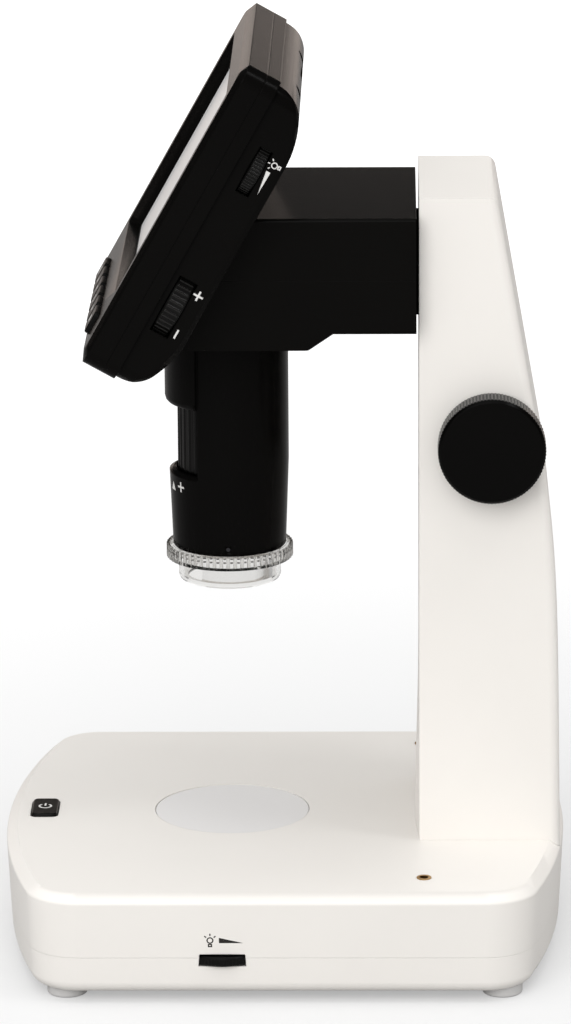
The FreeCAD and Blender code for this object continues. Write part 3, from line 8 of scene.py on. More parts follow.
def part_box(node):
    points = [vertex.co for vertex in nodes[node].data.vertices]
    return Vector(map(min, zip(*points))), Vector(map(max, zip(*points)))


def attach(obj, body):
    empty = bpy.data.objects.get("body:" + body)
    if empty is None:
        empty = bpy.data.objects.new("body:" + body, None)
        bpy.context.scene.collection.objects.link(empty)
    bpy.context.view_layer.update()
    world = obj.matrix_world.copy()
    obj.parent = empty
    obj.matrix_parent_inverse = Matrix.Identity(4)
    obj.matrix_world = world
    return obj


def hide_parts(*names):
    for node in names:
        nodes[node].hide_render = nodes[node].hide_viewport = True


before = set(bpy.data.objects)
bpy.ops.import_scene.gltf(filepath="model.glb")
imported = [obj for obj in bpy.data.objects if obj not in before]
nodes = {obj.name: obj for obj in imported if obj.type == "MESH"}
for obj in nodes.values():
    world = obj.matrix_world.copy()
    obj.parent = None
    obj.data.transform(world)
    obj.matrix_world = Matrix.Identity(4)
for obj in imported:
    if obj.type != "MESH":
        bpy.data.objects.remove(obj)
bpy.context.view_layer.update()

MM = 0.001

# Base tray and base cover. Two white shells moulded in the same plastic, the
# cover clipped and screwed to the tray along a fine seam. A moulded shell has
# a faint grain and soft edges.


def new_finish(name):
    """A new material, its node tree and its main shader."""
    finish = bpy.data.materials.new(name)
    finish.use_nodes = True
    return finish, finish.node_tree, finish.node_tree.nodes["Principled BSDF"]


def mottling(tree, scale, detail=2.0):
    """Noise that stays fixed to the piece."""
    place = tree.nodes.new("ShaderNodeTexCoord")
    noise = tree.nodes.new("ShaderNodeTexNoise")
    noise.inputs["Scale"].default_value = scale
    noise.inputs["Detail"].default_value = detail
    tree.links.new(place.outputs["Object"], noise.inputs["Vector"])
    return noise.outputs["Fac"]


def two_tones(tree, dark, light):
    """Colour ramp from a darker to a lighter tone of one colour."""
    tone = tree.nodes.new("ShaderNodeValToRGB")
    tone.color_ramp.elements[0].color = (*dark, 1)
    tone.color_ramp.elements[1].color = (*light, 1)
    return tone


def moulded_plastic(name, colour, dark, roughness, grain, depth, specular, edge=0.3):
    """Plastic with a fine moulded grain, a slight drift in tone and soft edges."""
    drift_scale, drift_detail = 14.0, 3.0
    ramp_start, ramp_end = 0.3, 0.7
    grain_detail, grain_height = 4.0, 0.0001
    finish, tree, shader = new_finish(name)
    link = tree.links.new
    shader.inputs["Roughness"].default_value = roughness
    shader.inputs["Specular IOR Level"].default_value = specular
    tone = two_tones(tree, dark, colour)
    tone.color_ramp.elements[0].position = ramp_start
    tone.color_ramp.elements[1].position = ramp_end
    link(mottling(tree, drift_scale, drift_detail), tone.inputs["Fac"])
    link(tone.outputs["Color"], shader.inputs["Base Color"])
    rounded = tree.nodes.new("ShaderNodeBevel")
    rounded.samples = 4
    rounded.inputs["Radius"].default_value = edge * MM
    bump = tree.nodes.new("ShaderNodeBump")
    bump.inputs["Strength"].default_value = depth
    bump.inputs["Distance"].default_value = grain_height
    link(mottling(tree, grain, grain_detail), bump.inputs["Height"])
    link(rounded.outputs["Normal"], bump.inputs["Normal"])
    link(bump.outputs["Normal"], shader.inputs["Normal"])
    return finish


def dress(node, body, finish, smooth=32):
    """Show a CAD node as a clean, smooth-shaded mesh in a finish."""
    mesh = nodes[node].data.copy()
    mesh.name = node + "_dressed"
    work = bmesh.new()
    work.from_mesh(mesh)
    bmesh.ops.remove_doubles(work, verts=work.verts, dist=1e-6)
    bmesh.ops.dissolve_limit(
        work, angle_limit=math.radians(0.4), verts=work.verts, edges=work.edges
    )
    work.to_mesh(mesh)
    work.free()
    mesh.materials.clear()
    mesh.materials.append(finish)
    mesh.shade_smooth()
    mesh.set_sharp_from_angle(angle=math.radians(smooth))
    piece = bpy.data.objects.new(node + "_dressed", mesh)
    bpy.context.scene.collection.objects.link(piece)
    flat = piece.modifiers.new("flat_faces_stay_flat", "WEIGHTED_NORMAL")
    flat.weight = 100
    flat.keep_sharp = True
    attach(piece, body)
    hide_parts(node)


white_plastic = moulded_plastic(
    "warm white moulded plastic",
    colour=(0.83, 0.80, 0.76),
    dark=(0.80, 0.77, 0.73),
    roughness=0.42,
    grain=2600,
    depth=0.08,
    specular=0.3,
)
dress("base_tray", "stand", white_plastic)
dress("base_cover", "stand", white_plastic)

# Feet. Four soft pale discs pressed into seats under the tray. The rubber is
# a little greyer than the shells and has a coarser grain.
foot_rubber = moulded_plastic(
    "pale soft foot rubber",
    colour=(0.62, 0.61, 0.60),
    dark=(0.55, 0.54, 0.53),
    roughness=0.6,
    grain=1800,
    depth=0.2,
    specular=0.3,
)
dress("base_feet", "stand", foot_rubber)

# Stage disc. A frosted diffuser dropped into the cover, with a sanded face
# that spreads the light from the lamps below it.
frosted = moulded_plastic(
    "sanded grey-white diffuser",
    colour=(0.76, 0.745, 0.735),
    dark=(0.73, 0.715, 0.705),
    roughness=0.55,
    grain=5200,
    depth=0.25,
    specular=0.3,
)
dress("stage_disc", "stand", frosted)

# Power button. A black cap over its switch, with a printed power sign: an
# open ring and a bar through the gap.


def flat_sign(name, loops, finish, place, thickness=0.03):
    """Printed sign: closed outlines in millimetres, laid on a placed plane."""
    curve = bpy.data.curves.new(name, "CURVE")
    curve.dimensions = "2D"
    curve.fill_mode = "BOTH"
    curve.extrude = thickness / 2
    for loop in loops:
        line = curve.splines.new("POLY")
        line.points.add(len(loop) - 1)
        for point, (x, y) in zip(line.points, loop):
            point.co = (x, y, 0, 1)
        line.use_cyclic_u = True
    drawn = bpy.data.objects.new(name, curve)
    bpy.context.scene.collection.objects.link(drawn)
    bpy.context.view_layer.update()
    graph = bpy.context.evaluated_depsgraph_get()
    mesh = bpy.data.meshes.new_from_object(drawn.evaluated_get(graph))
    bpy.data.objects.remove(drawn)
    mesh.transform(place @ Matrix.Scale(MM, 4))
    mesh.materials.clear()
    mesh.materials.append(finish)
    sign = bpy.data.objects.new(name, mesh)
    bpy.context.scene.collection.objects.link(sign)
    return sign


def print_sign(name, loops, finish, place, body):
    """Print a flat sign on a piece and let it move with that piece."""
    sign = flat_sign(name, loops, finish, place)
    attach(sign, body)


def arc_points(x, y, radius, start, end, steps=28):
    """Points along an arc, angles in degrees."""
    points = []
    for k in range(steps + 1):
        angle = math.radians(start + (end - start) * k / steps)
        points.append((x + radius * math.cos(angle), y + radius * math.sin(angle)))
    return points


def bar(x0, y0, x1, y1, width):
    """Outline of a straight stroke between two points."""
    length = math.hypot(x1 - x0, y1 - y0)
    dx = -(y1 - y0) / length * width / 2
    dy = (x1 - x0) / length * width / 2
    return [(x0 + dx, y0 + dy), (x1 + dx, y1 + dy), (x1 - dx, y1 - dy), (x0 - dx, y0 - dy)]


black_matt = moulded_plastic(
    "matt black moulded plastic",
    colour=(0.004, 0.0038, 0.0036),
    dark=(0.003, 0.0028, 0.0026),
    roughness=0.36,
    grain=3200,
    depth=0.3,
    specular=0.12,
)
white_print = moulded_plastic(
    "off-white printed ink",
    colour=(0.72, 0.71, 0.69),
    dark=(0.66, 0.65, 0.63),
    roughness=0.6,
    grain=3000,
    depth=0.1,
    specular=0.2,
)
sign_stroke = 0.5
power_ring_outer = 1.75
power_ring_inner = power_ring_outer - sign_stroke
gap_right, gap_left = 125, 415
dress("power_button", "power_button", black_matt)
button_low, button_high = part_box("power_button")
button_middle = (button_low + button_high) / 2
power_ring = arc_points(0, 0, power_ring_outer, gap_right, gap_left)
power_ring += arc_points(0, 0, power_ring_inner, gap_left, gap_right)
power_place = Matrix.Translation((button_middle.x, button_middle.y, button_high.z))
power_place @= Matrix.Rotation(math.radians(90), 4, "Z")
print_sign(
    "power_sign",
    [power_ring, bar(0, 0.2, 0, 2.1, sign_stroke)],
    white_print,
    power_place,
    "power_button",
)

# Stage light wheel. A thin ribbed wheel lying in the seam of the base, with a
# lamp sign and a wedge printed in black above its slot.


def math_node(tree, operation):
    """A node that works out one sum."""
    node = tree.nodes.new("ShaderNodeMath")
    node.operation = operation
    return node


def rib_tree():
    """Straight ribs standing in a circle round the Z axis."""
    tree = bpy.data.node_groups.new("ribs_round_a_rim", "GeometryNodeTree")
    tree.interface.new_socket(name="Ribs", in_out="OUTPUT", socket_type="NodeSocketGeometry")
    for name, kind in (
        ("Count", "NodeSocketInt"),
        ("Rim radius", "NodeSocketFloat"),
        ("Rib radius", "NodeSocketFloat"),
        ("Rib length", "NodeSocketFloat"),
        ("Finish", "NodeSocketMaterial"),
    ):
        tree.interface.new_socket(name=name, in_out="INPUT", socket_type=kind)
    new = tree.nodes.new
    given = new("NodeGroupInput")
    spots = new("GeometryNodeMeshLine")
    number = new("GeometryNodeInputIndex")
    step = math_node(tree, "DIVIDE")
    step.inputs[0].default_value = 2 * math.pi
    angle = math_node(tree, "MULTIPLY")
    cosine = math_node(tree, "COSINE")
    sine = math_node(tree, "SINE")
    across = math_node(tree, "MULTIPLY")
    along = math_node(tree, "MULTIPLY")
    spot = new("ShaderNodeCombineXYZ")
    moved = new("GeometryNodeSetPosition")
    turn = new("ShaderNodeCombineXYZ")
    rib = new("GeometryNodeMeshCylinder")
    rib.inputs["Vertices"].default_value = 8
    stand = new("GeometryNodeInstanceOnPoints")
    real = new("GeometryNodeRealizeInstances")
    paint_ribs = new("GeometryNodeSetMaterial")
    result = new("NodeGroupOutput")
    for source, target in (
        (given.outputs["Count"], spots.inputs["Count"]),
        (given.outputs["Count"], step.inputs[1]),
        (number.outputs["Index"], angle.inputs[0]),
        (step.outputs[0], angle.inputs[1]),
        (angle.outputs[0], cosine.inputs[0]),
        (angle.outputs[0], sine.inputs[0]),
        (cosine.outputs[0], across.inputs[0]),
        (given.outputs["Rim radius"], across.inputs[1]),
        (sine.outputs[0], along.inputs[0]),
        (given.outputs["Rim radius"], along.inputs[1]),
        (across.outputs[0], spot.inputs["X"]),
        (along.outputs[0], spot.inputs["Y"]),
        (spots.outputs["Mesh"], moved.inputs["Geometry"]),
        (spot.outputs["Vector"], moved.inputs["Position"]),
        (angle.outputs[0], turn.inputs["Z"]),
        (given.outputs["Rib radius"], rib.inputs["Radius"]),
        (given.outputs["Rib length"], rib.inputs["Depth"]),
        (moved.outputs["Geometry"], stand.inputs["Points"]),
        (rib.outputs["Mesh"], stand.inputs["Instance"]),
        (turn.outputs["Vector"], stand.inputs["Rotation"]),
        (stand.outputs["Instances"], real.inputs["Geometry"]),
        (real.outputs["Geometry"], paint_ribs.inputs["Geometry"]),
        (given.outputs["Finish"], paint_ribs.inputs["Material"]),
        (paint_ribs.outputs["Geometry"], result.inputs["Ribs"]),
    ):
        tree.links.new(source, target)
    return tree


rib_rule = rib_tree()


def ribs(name, place, body, finish, count, rim_radius, rib_radius, length):
    """Ribs round a rim, sizes in millimetres, about the placed Z axis."""
    carrier = bpy.data.objects.new(name, bpy.data.meshes.new(name))
    bpy.context.scene.collection.objects.link(carrier)
    rule = carrier.modifiers.new("ribs", "NODES")
    rule.node_group = rib_rule
    values = {
        "Count": count,
        "Rim radius": rim_radius * MM,
        "Rib radius": rib_radius * MM,
        "Rib length": length * MM,
        "Finish": finish,
    }
    for socket in rib_rule.interface.items_tree:
        if socket.in_out == "INPUT":
            rule[socket.identifier] = values[socket.name]
    bpy.context.view_layer.update()
    graph = bpy.context.evaluated_depsgraph_get()
    mesh = bpy.data.meshes.new_from_object(carrier.evaluated_get(graph))
    bpy.data.objects.remove(carrier)
    mesh.transform(place)
    mesh.shade_smooth()
    mesh.set_sharp_from_angle(angle=math.radians(50))
    piece = bpy.data.objects.new(name, mesh)
    bpy.context.scene.collection.objects.link(piece)
    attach(piece, body)


dress("stage_light_wheel", "stage_light_wheel", black_matt)
wheel_low, wheel_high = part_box("stage_light_wheel")
wheel_middle = (wheel_low + wheel_high) / 2
wheel_radius = (wheel_high.y - wheel_low.y) / 2 / MM
wheel_thickness = (wheel_high.z - wheel_low.z) / MM
ribs(
    "stage_light_wheel_ribs",
    Matrix.Translation(wheel_middle),
    "stage_light_wheel",
    black_matt,
    count=72,
    rim_radius=wheel_radius - 0.18,
    rib_radius=0.26,
    length=wheel_thickness - 0.8,
)

black_print = moulded_plastic(
    "black printed ink",
    colour=(0.022, 0.020, 0.018),
    dark=(0.018, 0.016, 0.014),
    roughness=0.55,
    grain=3000,
    depth=0.1,
    specular=0.2,
)


def lamp_sign(x, y, size):
    """Lamp sign: round bulb outline with a socket below and three rays."""
    globe = size * 0.24
    stroke = size * 0.085
    loops = [arc_points(x, y, globe, 0, 360), arc_points(x, y, globe - stroke, 360, 0)]
    top = y - globe * 1.05
    half = globe * 0.62
    deep = size * 0.24
    loops.append([(x - half, top), (x - half, top - deep), (x + half, top - deep), (x + half, top)])
    half -= stroke
    ceiling = top - stroke
    ground = top - deep + stroke
    loops.append([(x - half, ceiling), (x + half, ceiling), (x + half, ground), (x - half, ground)])
    ray_start = globe * 1.4
    ray_end = globe * 2.1
    for angle in (40, 90, 140):
        dx = math.cos(math.radians(angle))
        dy = math.sin(math.radians(angle))
        loops.append(
            bar(x + ray_start * dx, y + ray_start * dy, x + ray_end * dx, y + ray_end * dy, stroke)
        )
    return loops


# The base's side leans out by 0.7 mm over its 14.3 mm of height.
side_draft = math.atan2(0.7, 14.3)
seam_z = 12.1
side_x = 66.3
sign_z = 16.55
side_place = (
    Matrix.Translation(Vector((side_x + (sign_z - seam_z) * math.tan(side_draft), 0, sign_z)) * MM)
    @ Matrix.Rotation(side_draft, 4, "Y")
    @ Matrix.Rotation(math.radians(90), 4, "Z")
    @ Matrix.Rotation(math.radians(90), 4, "X")
)
stage_wedge = [(-15.3, 0.95), (-15.3, -0.45), (-9.3, -0.45)]
for name, loops in (
    ("stage_lamp_sign", lamp_sign(-17.5, 0.25, 3.6)),
    ("stage_light_wedge", [stage_wedge]),
):
    print_sign(name, loops, black_print, side_place, "stand")

# Clip sockets. Turned brass tubes pressed into the cover beside the column,
# to hold the stems of the stage clips.


def metal(name, colour, dark, roughness, scale):
    """Turned or drawn metal with fine wear in its roughness."""
    finish, tree, shader = new_finish(name)
    link = tree.links.new
    shader.inputs["Metallic"].default_value = 1.0
    wear = mottling(tree, scale)
    tone = two_tones(tree, dark, colour)
    rough = tree.nodes.new("ShaderNodeMapRange")
    rough.inputs["To Min"].default_value = roughness * 0.7
    rough.inputs["To Max"].default_value = roughness * 1.3
    link(wear, tone.inputs["Fac"])
    link(wear, rough.inputs["Value"])
    link(tone.outputs["Color"], shader.inputs["Base Color"])
    link(rough.outputs["Result"], shader.inputs["Roughness"])
    return finish


brass = metal(
    "turned brass", colour=(0.62, 0.38, 0.14), dark=(0.42, 0.24, 0.08), roughness=0.35, scale=900
)
dress("clip_sockets", "stand", brass)

# Column. One tall white shell that stands on the base cover, with a curved
# front edge at its foot and the slot for the arm in front.
dress("column_shell", "stand", white_plastic)

# Focus knob. A glossy black plastic knob: a flat face with a narrow sloped
# edge, and a finely ribbed rim for the fingers.
knob_black = moulded_plastic(
    "glossy black knob plastic",
    colour=(0.0022, 0.002, 0.0018),
    dark=(0.0016, 0.0015, 0.0014),
    roughness=0.26,
    grain=2400,
    depth=0.12,
    specular=0.05,
)
rib_black = moulded_plastic(
    "polished black rib plastic",
    colour=(0.007, 0.0065, 0.006),
    dark=(0.004, 0.0038, 0.0036),
    roughness=0.2,
    grain=2400,
    depth=0.15,
    specular=0.3,
)
dress("focus_knob", "focus_drive", knob_black)
knob_low, knob_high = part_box("focus_knob")
knob_middle = (knob_low + knob_high) / 2
knob_radius = (knob_high.z - knob_low.z) / 2 / MM
knob_thickness = (knob_high.x - knob_low.x) / MM
ribs(
    "focus_knob_ribs",
    Matrix.Translation(knob_middle) @ Matrix.Rotation(math.radians(90), 4, "Y"),
    "focus_drive",
    rib_black,
    count=96,
    rim_radius=knob_radius - 0.12,
    rib_radius=0.3,
    length=knob_thickness - 1.6,
)

# Arm. Two black shells meeting at a fine seam, carried by tongues that reach
# into the column. The arm is smoother and shinier than the screen housing.
arm_black = moulded_plastic(
    "smooth black arm plastic",
    colour=(0.0034, 0.0032, 0.0028),
    dark=(0.0025, 0.0023, 0.0021),
    roughness=0.16,
    grain=2800,
    depth=0.05,
    specular=0.035,
    edge=0.35,
)
dress("arm_upper_shell", "head", arm_black)
dress("arm_lower_shell", "head", arm_black)

# Screen housing. A front shell with a sloped border and a deep window, and a
# rear shell with a raised, rounded back, joined at a fine seam.
black_shell = moulded_plastic(
    "satin black moulded plastic",
    colour=(0.0032, 0.003, 0.0027),
    dark=(0.0023, 0.0021, 0.002),
    roughness=0.24,
    grain=2800,
    depth=0.12,
    specular=0.035,
    edge=0.5,
)
face_tilt = 29.4
face_middle = Vector((0, -28.41, 194.38))
face_place = Matrix.Translation(face_middle * MM) @ Matrix.Rotation(
    math.radians(90 - face_tilt), 4, "X"
)
dress("screen_front_shell", "head", black_shell)
dress("screen_rear_shell", "head", black_shell)

# Display panel. A picture panel behind the window, unlit, so that its pale
# diffuser shows. It keeps the CAD's own mesh.


def paint(part, finish):
    """Give a CAD node its finish and leave its mesh alone."""
    nodes[part].data.materials.clear()
    nodes[part].data.materials.append(finish)


panel_white = moulded_plastic(
    "unlit pale picture panel",
    colour=(0.74, 0.73, 0.725),
    dark=(0.72, 0.71, 0.705),
    roughness=0.3,
    grain=900,
    depth=0.02,
    specular=0.3,
)
paint("display_panel", panel_white)

# Menu keys. Six black caps in a row under the window, each over its switch,
# with plain signs printed in white.
menu_pitch = 10.4
menu_u = -35.0
menu_top = 1.2
thin_stroke = 0.4
triangle = [(0, 1.0), (-1.1, -0.8), (1.1, -0.8)]
menu_signs = [
    [bar(-1.2, y, 1.2, y, thin_stroke) for y in (0.8, 0, -0.8)],
    [triangle],
    [[(x, -y) for x, y in reversed(triangle)]],
    [arc_points(0, 0, 1.1, 0, 360), arc_points(0, 0, 1.1 - thin_stroke, 360, 0)],
    [[(-0.8, 1.0), (-0.8, -1.0), (1.1, 0)]],
    [[(-0.9, 0.9), (-0.9, -0.9), (0.9, -0.9), (0.9, 0.9)]],
]
row_middle = (len(menu_signs) - 1) / 2
for k, loops in enumerate(menu_signs):
    key = "menu_button_" + str(k + 1)
    dress(key, key, black_matt)
    spot = Vector((menu_pitch * (k - row_middle), menu_u, menu_top)) * MM
    spot_place = face_place @ Matrix.Translation(spot)
    print_sign("menu_sign_" + str(k + 1), loops, white_print, spot_place, key)

# Side wheels of the screen housing: the ring light's dimmer and the zoom
# wheel, each with a ribbed rim and its signs printed beside the slot.


def plus_outline(x, y, half, stroke):
    """Outline of a plus sign."""
    edge = stroke / 2
    return [
        (x - half, y + edge),
        (x - half, y - edge),
        (x - edge, y - edge),
        (x - edge, y - half),
        (x + edge, y - half),
        (x + edge, y - edge),
        (x + half, y - edge),
        (x + half, y + edge),
        (x + edge, y + edge),
        (x + edge, y + half),
        (x - edge, y + half),
        (x - edge, y + edge),
    ]


plus_half = 1.3
housing_side = 43.6
light_middle = Vector((36.6, 20.25, -14.75))
zoom_middle = Vector((34.6, -18.6, -13.95))
dress("ring_light_wheel", "ring_light_wheel", black_matt)
dress("zoom_wheel", "zoom_wheel", black_matt)
ribs(
    "ring_light_wheel_ribs",
    face_place @ Matrix.Translation(light_middle * MM),
    "ring_light_wheel",
    rib_black,
    count=60,
    rim_radius=7.85,
    rib_radius=0.27,
    length=2.5,
)
ribs(
    "zoom_wheel_ribs",
    face_place @ Matrix.Translation(zoom_middle * MM),
    "zoom_wheel",
    rib_black,
    count=44,
    rim_radius=9.75,
    rib_radius=0.45,
    length=3.7,
)
housing_place = (
    face_place
    @ Matrix.Translation((housing_side * MM, 0, 0))
    @ Matrix.Rotation(math.radians(90), 4, "Z")
    @ Matrix.Rotation(math.radians(90), 4, "X")
)
ring_wedge = [(22.0, -17.15), (15.7, -18.15), (22.0, -18.3)]
for name, loops in (
    ("ring_lamp_sign", lamp_sign(24.0, -18.3, 3.5)),
    ("ring_light_wedge", [ring_wedge]),
    ("zoom_plus_sign", [plus_outline(-13.3, -17.8, plus_half, sign_stroke)]),
    ("zoom_minus_sign", [bar(-25.4, -17.7, -23.0, -17.7, sign_stroke)]),
):
    print_sign(name, loops, white_print, housing_place, "head")

# Barrel. A black tube with a collar and a finger window in front, closed at
# the bottom by the clear cap. Focus signs are printed below the window, and a
# small dark screw sits near the lower edge.
dress("barrel_shell", "head", black_shell)
barrel_y = -13.6
mouth_radius = 14.26
mouth_z = 99.6
barrel_taper = 0.84 / 22.4
print_height = 0.01


def barrel_sign(name, loops, height, around):
    """Print a sign on the barrel's front, bent round its axis."""
    drawn = flat_sign(name, loops, white_print, Matrix.Identity(4))
    cut = bmesh.new()
    cut.from_mesh(drawn.data)
    bmesh.ops.triangulate(cut, faces=cut.faces)
    bmesh.ops.subdivide_edges(cut, edges=cut.edges, cuts=3, use_grid_fill=True)
    radius = (mouth_radius + (height - mouth_z) * barrel_taper) * MM
    for corner in cut.verts:
        angle = corner.co.x / radius + math.radians(around)
        level = corner.co.y
        out = radius + corner.co.z + level * barrel_taper + print_height * MM
        corner.co = Vector(
            (out * math.sin(angle), barrel_y * MM - out * math.cos(angle), height * MM + level)
        )
    cut.to_mesh(drawn.data)
    cut.free()
    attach(drawn, "head")


focus_mark = [(0, 1.3), (-1.2, -0.9), (1.2, -0.9)]
barrel_sign("focus_plus_sign", [plus_outline(0, 0, plus_half, sign_stroke)], 116.6, 37)
barrel_sign("focus_mark", [focus_mark], 116.0, 22)
barrel_sign("focus_minus_sign", [bar(-plus_half, 0, plus_half, 0, sign_stroke)], 115.5, -42)
blackened = metal(
    "blackened steel",
    colour=(0.06, 0.06, 0.065),
    dark=(0.035, 0.035, 0.04),
    roughness=0.35,
    scale=900,
)
dress("barrel_screw", "head", blackened)

# Focus sleeve. A black tube inside the barrel with long ribs that the finger
# turns through the window.
dress("focus_sleeve", "focus_sleeve", black_matt)
sleeve_low, sleeve_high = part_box("focus_sleeve")
sleeve_middle = (sleeve_low + sleeve_high) / 2
sleeve_radius = (sleeve_high.x - sleeve_low.x) / 2 / MM
sleeve_length = (sleeve_high.z - sleeve_low.z) / MM
ribs(
    "focus_sleeve_ribs",
    Matrix.Translation(sleeve_middle),
    "focus_sleeve",
    black_matt,
    count=36,
    rim_radius=sleeve_radius - 0.35,
    rib_radius=0.62,
    length=sleeve_length - 0.4,
)

# Clear cap. Water-clear moulded plastic: a ribbed ring round the barrel's mouth and an open sleeve below
# it. Two rows of short dark dashes between the ribs are painted refraction: dark see-through pieces that
# stand for the black barrel seen through the ring's steps.


def clear_finish(name, colour, roughness, ior):
    """Clear plastic or glass with a slight haze."""
    haze_scale = 400
    finish, tree, shader = new_finish(name)
    link = tree.links.new
    shader.inputs["Transmission Weight"].default_value = 1.0
    shader.inputs["IOR"].default_value = ior
    haze = mottling(tree, haze_scale)
    rough = tree.nodes.new("ShaderNodeMapRange")
    rough.inputs["To Min"].default_value = roughness * 0.6
    rough.inputs["To Max"].default_value = roughness * 1.4
    tone = two_tones(tree, [c * 0.985 for c in colour], colour)
    link(haze, rough.inputs["Value"])
    link(haze, tone.inputs["Fac"])
    link(rough.outputs["Result"], shader.inputs["Roughness"])
    link(tone.outputs["Color"], shader.inputs["Base Color"])
    return finish


clear_plastic = clear_finish(
    "clear moulded plastic", colour=(0.79, 0.783, 0.77), roughness=0.14, ior=1.12
)
# Dark see-through plastic for those dashes, a painted refraction of the black barrel behind the ring.
painted_refraction_plastic = clear_finish(
    "clear plastic with painted barrel refraction", colour=(0.42, 0.41, 0.40), roughness=0.2, ior=1.1
)
cap_rib_count = 56
cap_rib_z = 98.25
painted_refraction_rows = (99.65, 98.65)
dress("clear_cap", "clear_cap", clear_plastic)
cap_low, cap_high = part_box("clear_cap")
cap_rib_rim = (cap_high.x - cap_low.x) / 2 / MM - 0.15
ribs(
    "clear_cap_ribs",
    Matrix.Translation(Vector((0, barrel_y, cap_rib_z)) * MM),
    "clear_cap",
    clear_plastic,
    count=cap_rib_count,
    rim_radius=cap_rib_rim,
    rib_radius=0.45,
    length=3.3,
)
half_pitch = Matrix.Rotation(math.radians(180 / cap_rib_count), 4, "Z")
# The two rows of dark dashes round the ring, set between the ribs: painted refraction of the black
# barrel.
for row, row_z in enumerate(painted_refraction_rows):
    ribs(
        "clear_cap_painted_refraction_" + str(row + 1),
        Matrix.Translation(Vector((0, barrel_y, row_z)) * MM) @ half_pitch,
        "clear_cap",
        painted_refraction_plastic,
        count=cap_rib_count,
        rim_radius=cap_rib_rim,
        rib_radius=0.36,
        length=0.3,
    )

# Optics inside the barrel: lens, its carrier, the ring of lamps and the
# picture sensor on its mount. The circuit boards elsewhere are alike.
lens_glass = clear_finish("coated lens glass", colour=(0.90, 0.93, 0.95), roughness=0.02, ior=1.5)
dress("objective_lens", "lens_carrier", lens_glass)
dress("lens_carrier", "lens_carrier", black_matt)
dress("sensor_mount", "head", black_matt)
board_green = moulded_plastic(
    "green circuit board",
    colour=(0.02, 0.12, 0.055),
    dark=(0.012, 0.08, 0.04),
    roughness=0.4,
    grain=1500,
    depth=0.3,
    specular=0.5,
)
for board in ("ring_light_board", "sensor_board", "main_board", "button_board", "stage_light_board"):
    paint(board, board_green)

# Focus drive and guide inside the column: rods, brackets, carriage, rack,
# pinion, shaft and bushes.
acetal = moulded_plastic(
    "natural low-friction plastic",
    colour=(0.70, 0.68, 0.62),
    dark=(0.66, 0.64, 0.58),
    roughness=0.4,
    grain=1800,
    depth=0.1,
    specular=0.4,
)
steel = metal(
    "plain steel", colour=(0.58, 0.58, 0.60), dark=(0.45, 0.45, 0.47), roughness=0.3, scale=700
)
for part in ("upper_rod_bracket", "lower_rod_bracket", "carriage", "focus_rack", "drive_pinion"):
    paint(part, acetal)
for part in ("guide_rods", "focus_shaft"):
    paint(part, steel)
paint("shaft_bushes", brass)

# Screws. Plain round heads, as in the CAD, sunk under the base, behind the
# screen and under the arm.
for screw in (
    "base_screws",
    "column_screws",
    "carriage_screws",
    "arm_screws",
    "housing_screws",
    "screen_screws",
    "mount_screws",
):
    paint(screw, steel)

# Power and controls inside the housings: battery, inlet, switches, dimmers
# and the steel cage of the card slot.
battery_film = moulded_plastic(
    "blue battery film",
    colour=(0.07, 0.12, 0.22),
    dark=(0.05, 0.09, 0.18),
    roughness=0.3,
    grain=700,
    depth=0.2,
    specular=0.5,
)
paint("battery_pack", battery_film)
paint("card_socket", steel)
for part in ("power_inlet", "power_switch", "stage_light_dimmer", "ring_light_dimmer", "zoom_switch"):
    paint(part, black_matt)

# Studio: a plain pale floor, a low white backdrop card behind it, an even
# white room, three soft lamps and the camera.


def studio_white(name, albedo, near, far, mirrored):
    """Paper that shows white to the camera, more so far off, and takes a shadow.

    Mirrored is the share of that white which shows in glossy pieces, where it
    has the warm tint of the room.
    """
    lift_start, lift_end = 0.12, 0.9
    warm_tint = (1, 0.82, 0.71, 1)
    finish, tree, _ = new_finish(name)
    tree.nodes.clear()
    new = tree.nodes.new
    sheet = new("ShaderNodeBsdfDiffuse")
    sheet.inputs["Color"].default_value = (albedo, albedo, albedo, 1)
    glow = new("ShaderNodeEmission")
    path = new("ShaderNodeLightPath")
    seen = math_node(tree, "MAXIMUM")
    shine = math_node(tree, "MULTIPLY")
    shine.inputs[1].default_value = mirrored
    also = math_node(tree, "MAXIMUM")
    place = new("ShaderNodeTexCoord")
    span = new("ShaderNodeVectorMath")
    span.operation = "LENGTH"
    lift = new("ShaderNodeMapRange")
    lift.inputs["From Min"].default_value = lift_start
    lift.inputs["From Max"].default_value = lift_end
    lift.inputs["To Min"].default_value = near
    lift.inputs["To Max"].default_value = far
    strength = math_node(tree, "MULTIPLY")
    mirror = math_node(tree, "SUBTRACT")
    warmth = new("ShaderNodeMix")
    warmth.data_type = "RGBA"
    warmth.inputs["A"].default_value = (1, 1, 1, 1)
    warmth.inputs["B"].default_value = warm_tint
    both = new("ShaderNodeAddShader")
    result = new("ShaderNodeOutputMaterial")
    for source, target in (
        (path.outputs["Is Camera Ray"], seen.inputs[0]),
        (path.outputs["Is Transmission Ray"], seen.inputs[1]),
        (path.outputs["Is Glossy Ray"], shine.inputs[0]),
        (seen.outputs[0], also.inputs[0]),
        (shine.outputs[0], also.inputs[1]),
        (place.outputs["Object"], span.inputs[0]),
        (span.outputs["Value"], lift.inputs["Value"]),
        (also.outputs[0], strength.inputs[0]),
        (lift.outputs["Result"], strength.inputs[1]),
        (strength.outputs[0], glow.inputs["Strength"]),
        (path.outputs["Is Glossy Ray"], mirror.inputs[0]),
        (path.outputs["Is Transmission Ray"], mirror.inputs[1]),
        (mirror.outputs[0], warmth.inputs["Factor"]),
        (warmth.outputs["Result"], glow.inputs["Color"]),
        (sheet.outputs[0], both.inputs[0]),
        (glow.outputs[0], both.inputs[1]),
        (both.outputs[0], result.inputs["Surface"]),
    ):
        tree.links.new(source, target)
    return finish


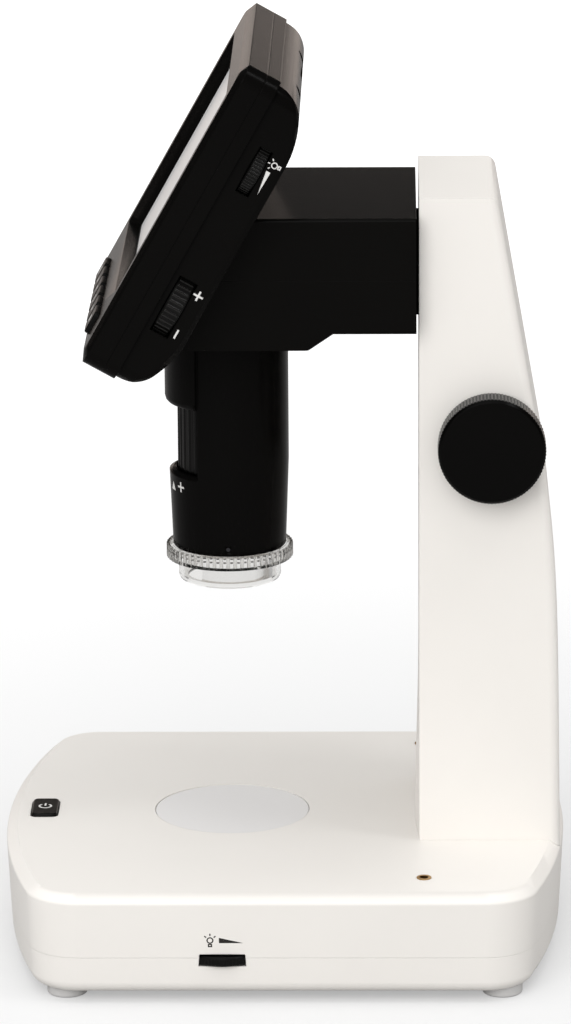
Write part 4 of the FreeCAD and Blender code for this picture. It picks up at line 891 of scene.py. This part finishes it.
def laid_sheet(name, paper, corners):
    """One flat sheet of studio paper."""
    sheet = bpy.data.meshes.new(name)
    sheet.from_pydata(corners, [], [(0, 1, 2, 3)])
    sheet.materials.append(paper)
    laid = bpy.data.objects.new(name, sheet)
    bpy.context.scene.collection.objects.link(laid)


floor_paper = studio_white("white floor paper", albedo=0.46, near=0.38, far=0.9, mirrored=0.1)
card_paper = studio_white("white backdrop card", albedo=0.45, near=0.85, far=0.9, mirrored=0.95)
reach = 6.0
card_x = -2.0
card_half = 3
card_top = 0.47
laid_sheet(
    "floor", floor_paper, [(-reach, -reach, 0), (reach, -reach, 0), (reach, reach, 0), (-reach, reach, 0)]
)
laid_sheet(
    "backdrop",
    card_paper,
    [
        (card_x, -card_half, 0),
        (card_x, card_half, 0),
        (card_x, card_half, card_top),
        (card_x, -card_half, card_top),
    ],
)

# The room lights the object evenly and is nearly dark in glossy pieces. It is
# white to the camera and through clear pieces.
room_light = 0.79
room_in_gloss = 0.05
world = bpy.data.worlds.new("studio")
bpy.context.scene.world = world
world.use_nodes = True
room_tree = world.node_tree
room_tree.nodes.clear()
room = room_tree.nodes.new("ShaderNodeBackground")
room.inputs["Color"].default_value = (1, 1, 1, 1)
room_path = room_tree.nodes.new("ShaderNodeLightPath")
room_level = room_tree.nodes.new("ShaderNodeMapRange")
room_level.inputs["To Min"].default_value = room_light
room_level.inputs["To Max"].default_value = room_in_gloss
room_seen = math_node(room_tree, "MAXIMUM")
room_all = math_node(room_tree, "MAXIMUM")
room_out = room_tree.nodes.new("ShaderNodeOutputWorld")
for source, target in (
    (room_path.outputs["Is Glossy Ray"], room_level.inputs["Value"]),
    (room_path.outputs["Is Camera Ray"], room_seen.inputs[0]),
    (room_path.outputs["Is Transmission Ray"], room_seen.inputs[1]),
    (room_level.outputs["Result"], room_all.inputs[0]),
    (room_seen.outputs[0], room_all.inputs[1]),
    (room_all.outputs[0], room.inputs["Strength"]),
    (room.outputs[0], room_out.inputs["Surface"]),
):
    room_tree.links.new(source, target)


def soft_lamp(name, place, target, size, watts):
    """Large square studio lamp aimed at a point."""
    light = bpy.data.lights.new(name, "AREA")
    light.shape = "SQUARE"
    light.size = size
    light.energy = watts
    lamp = bpy.data.objects.new(name, light)
    lamp.location = place
    aim = Vector(target) - Vector(place)
    lamp.rotation_euler = aim.to_track_quat("-Z", "Y").to_euler()
    bpy.context.scene.collection.objects.link(lamp)


soft_lamp("camera_side_lamp", place=(1.12, -0.32, 0.75), target=(0, 0, 0.1), size=0.9, watts=8.9)
soft_lamp("top_lamp", place=(0.15, -0.1, 1.3), target=(0, 0, 0.05), size=1.0, watts=3.5)
soft_lamp("small_rear_lamp", place=(0.28, 0.7, 1.35), target=(0, 0, 0.2), size=0.25, watts=2.0)

# Camera at the photograph's place, found by fitting a camera to the base's
# parallel edges and the column.
camera_data = bpy.data.cameras.new("camera")
camera_data.lens = 202.85
camera_data.sensor_width = 36
camera_data.clip_end = 50
camera = bpy.data.objects.new("camera", camera_data)
bpy.context.scene.collection.objects.link(camera)
camera.matrix_world = Matrix(
    (
        (-0.01732, -0.26915, 0.96294, 1.40396),
        (0.99983, 0.00182, 0.01849, 0.02750),
        (-0.00672, 0.96310, 0.26907, 0.49986),
        (0, 0, 0, 1),
    )
)
bpy.context.scene.camera = camera
bpy.context.scene.view_settings.view_transform = "Standard"
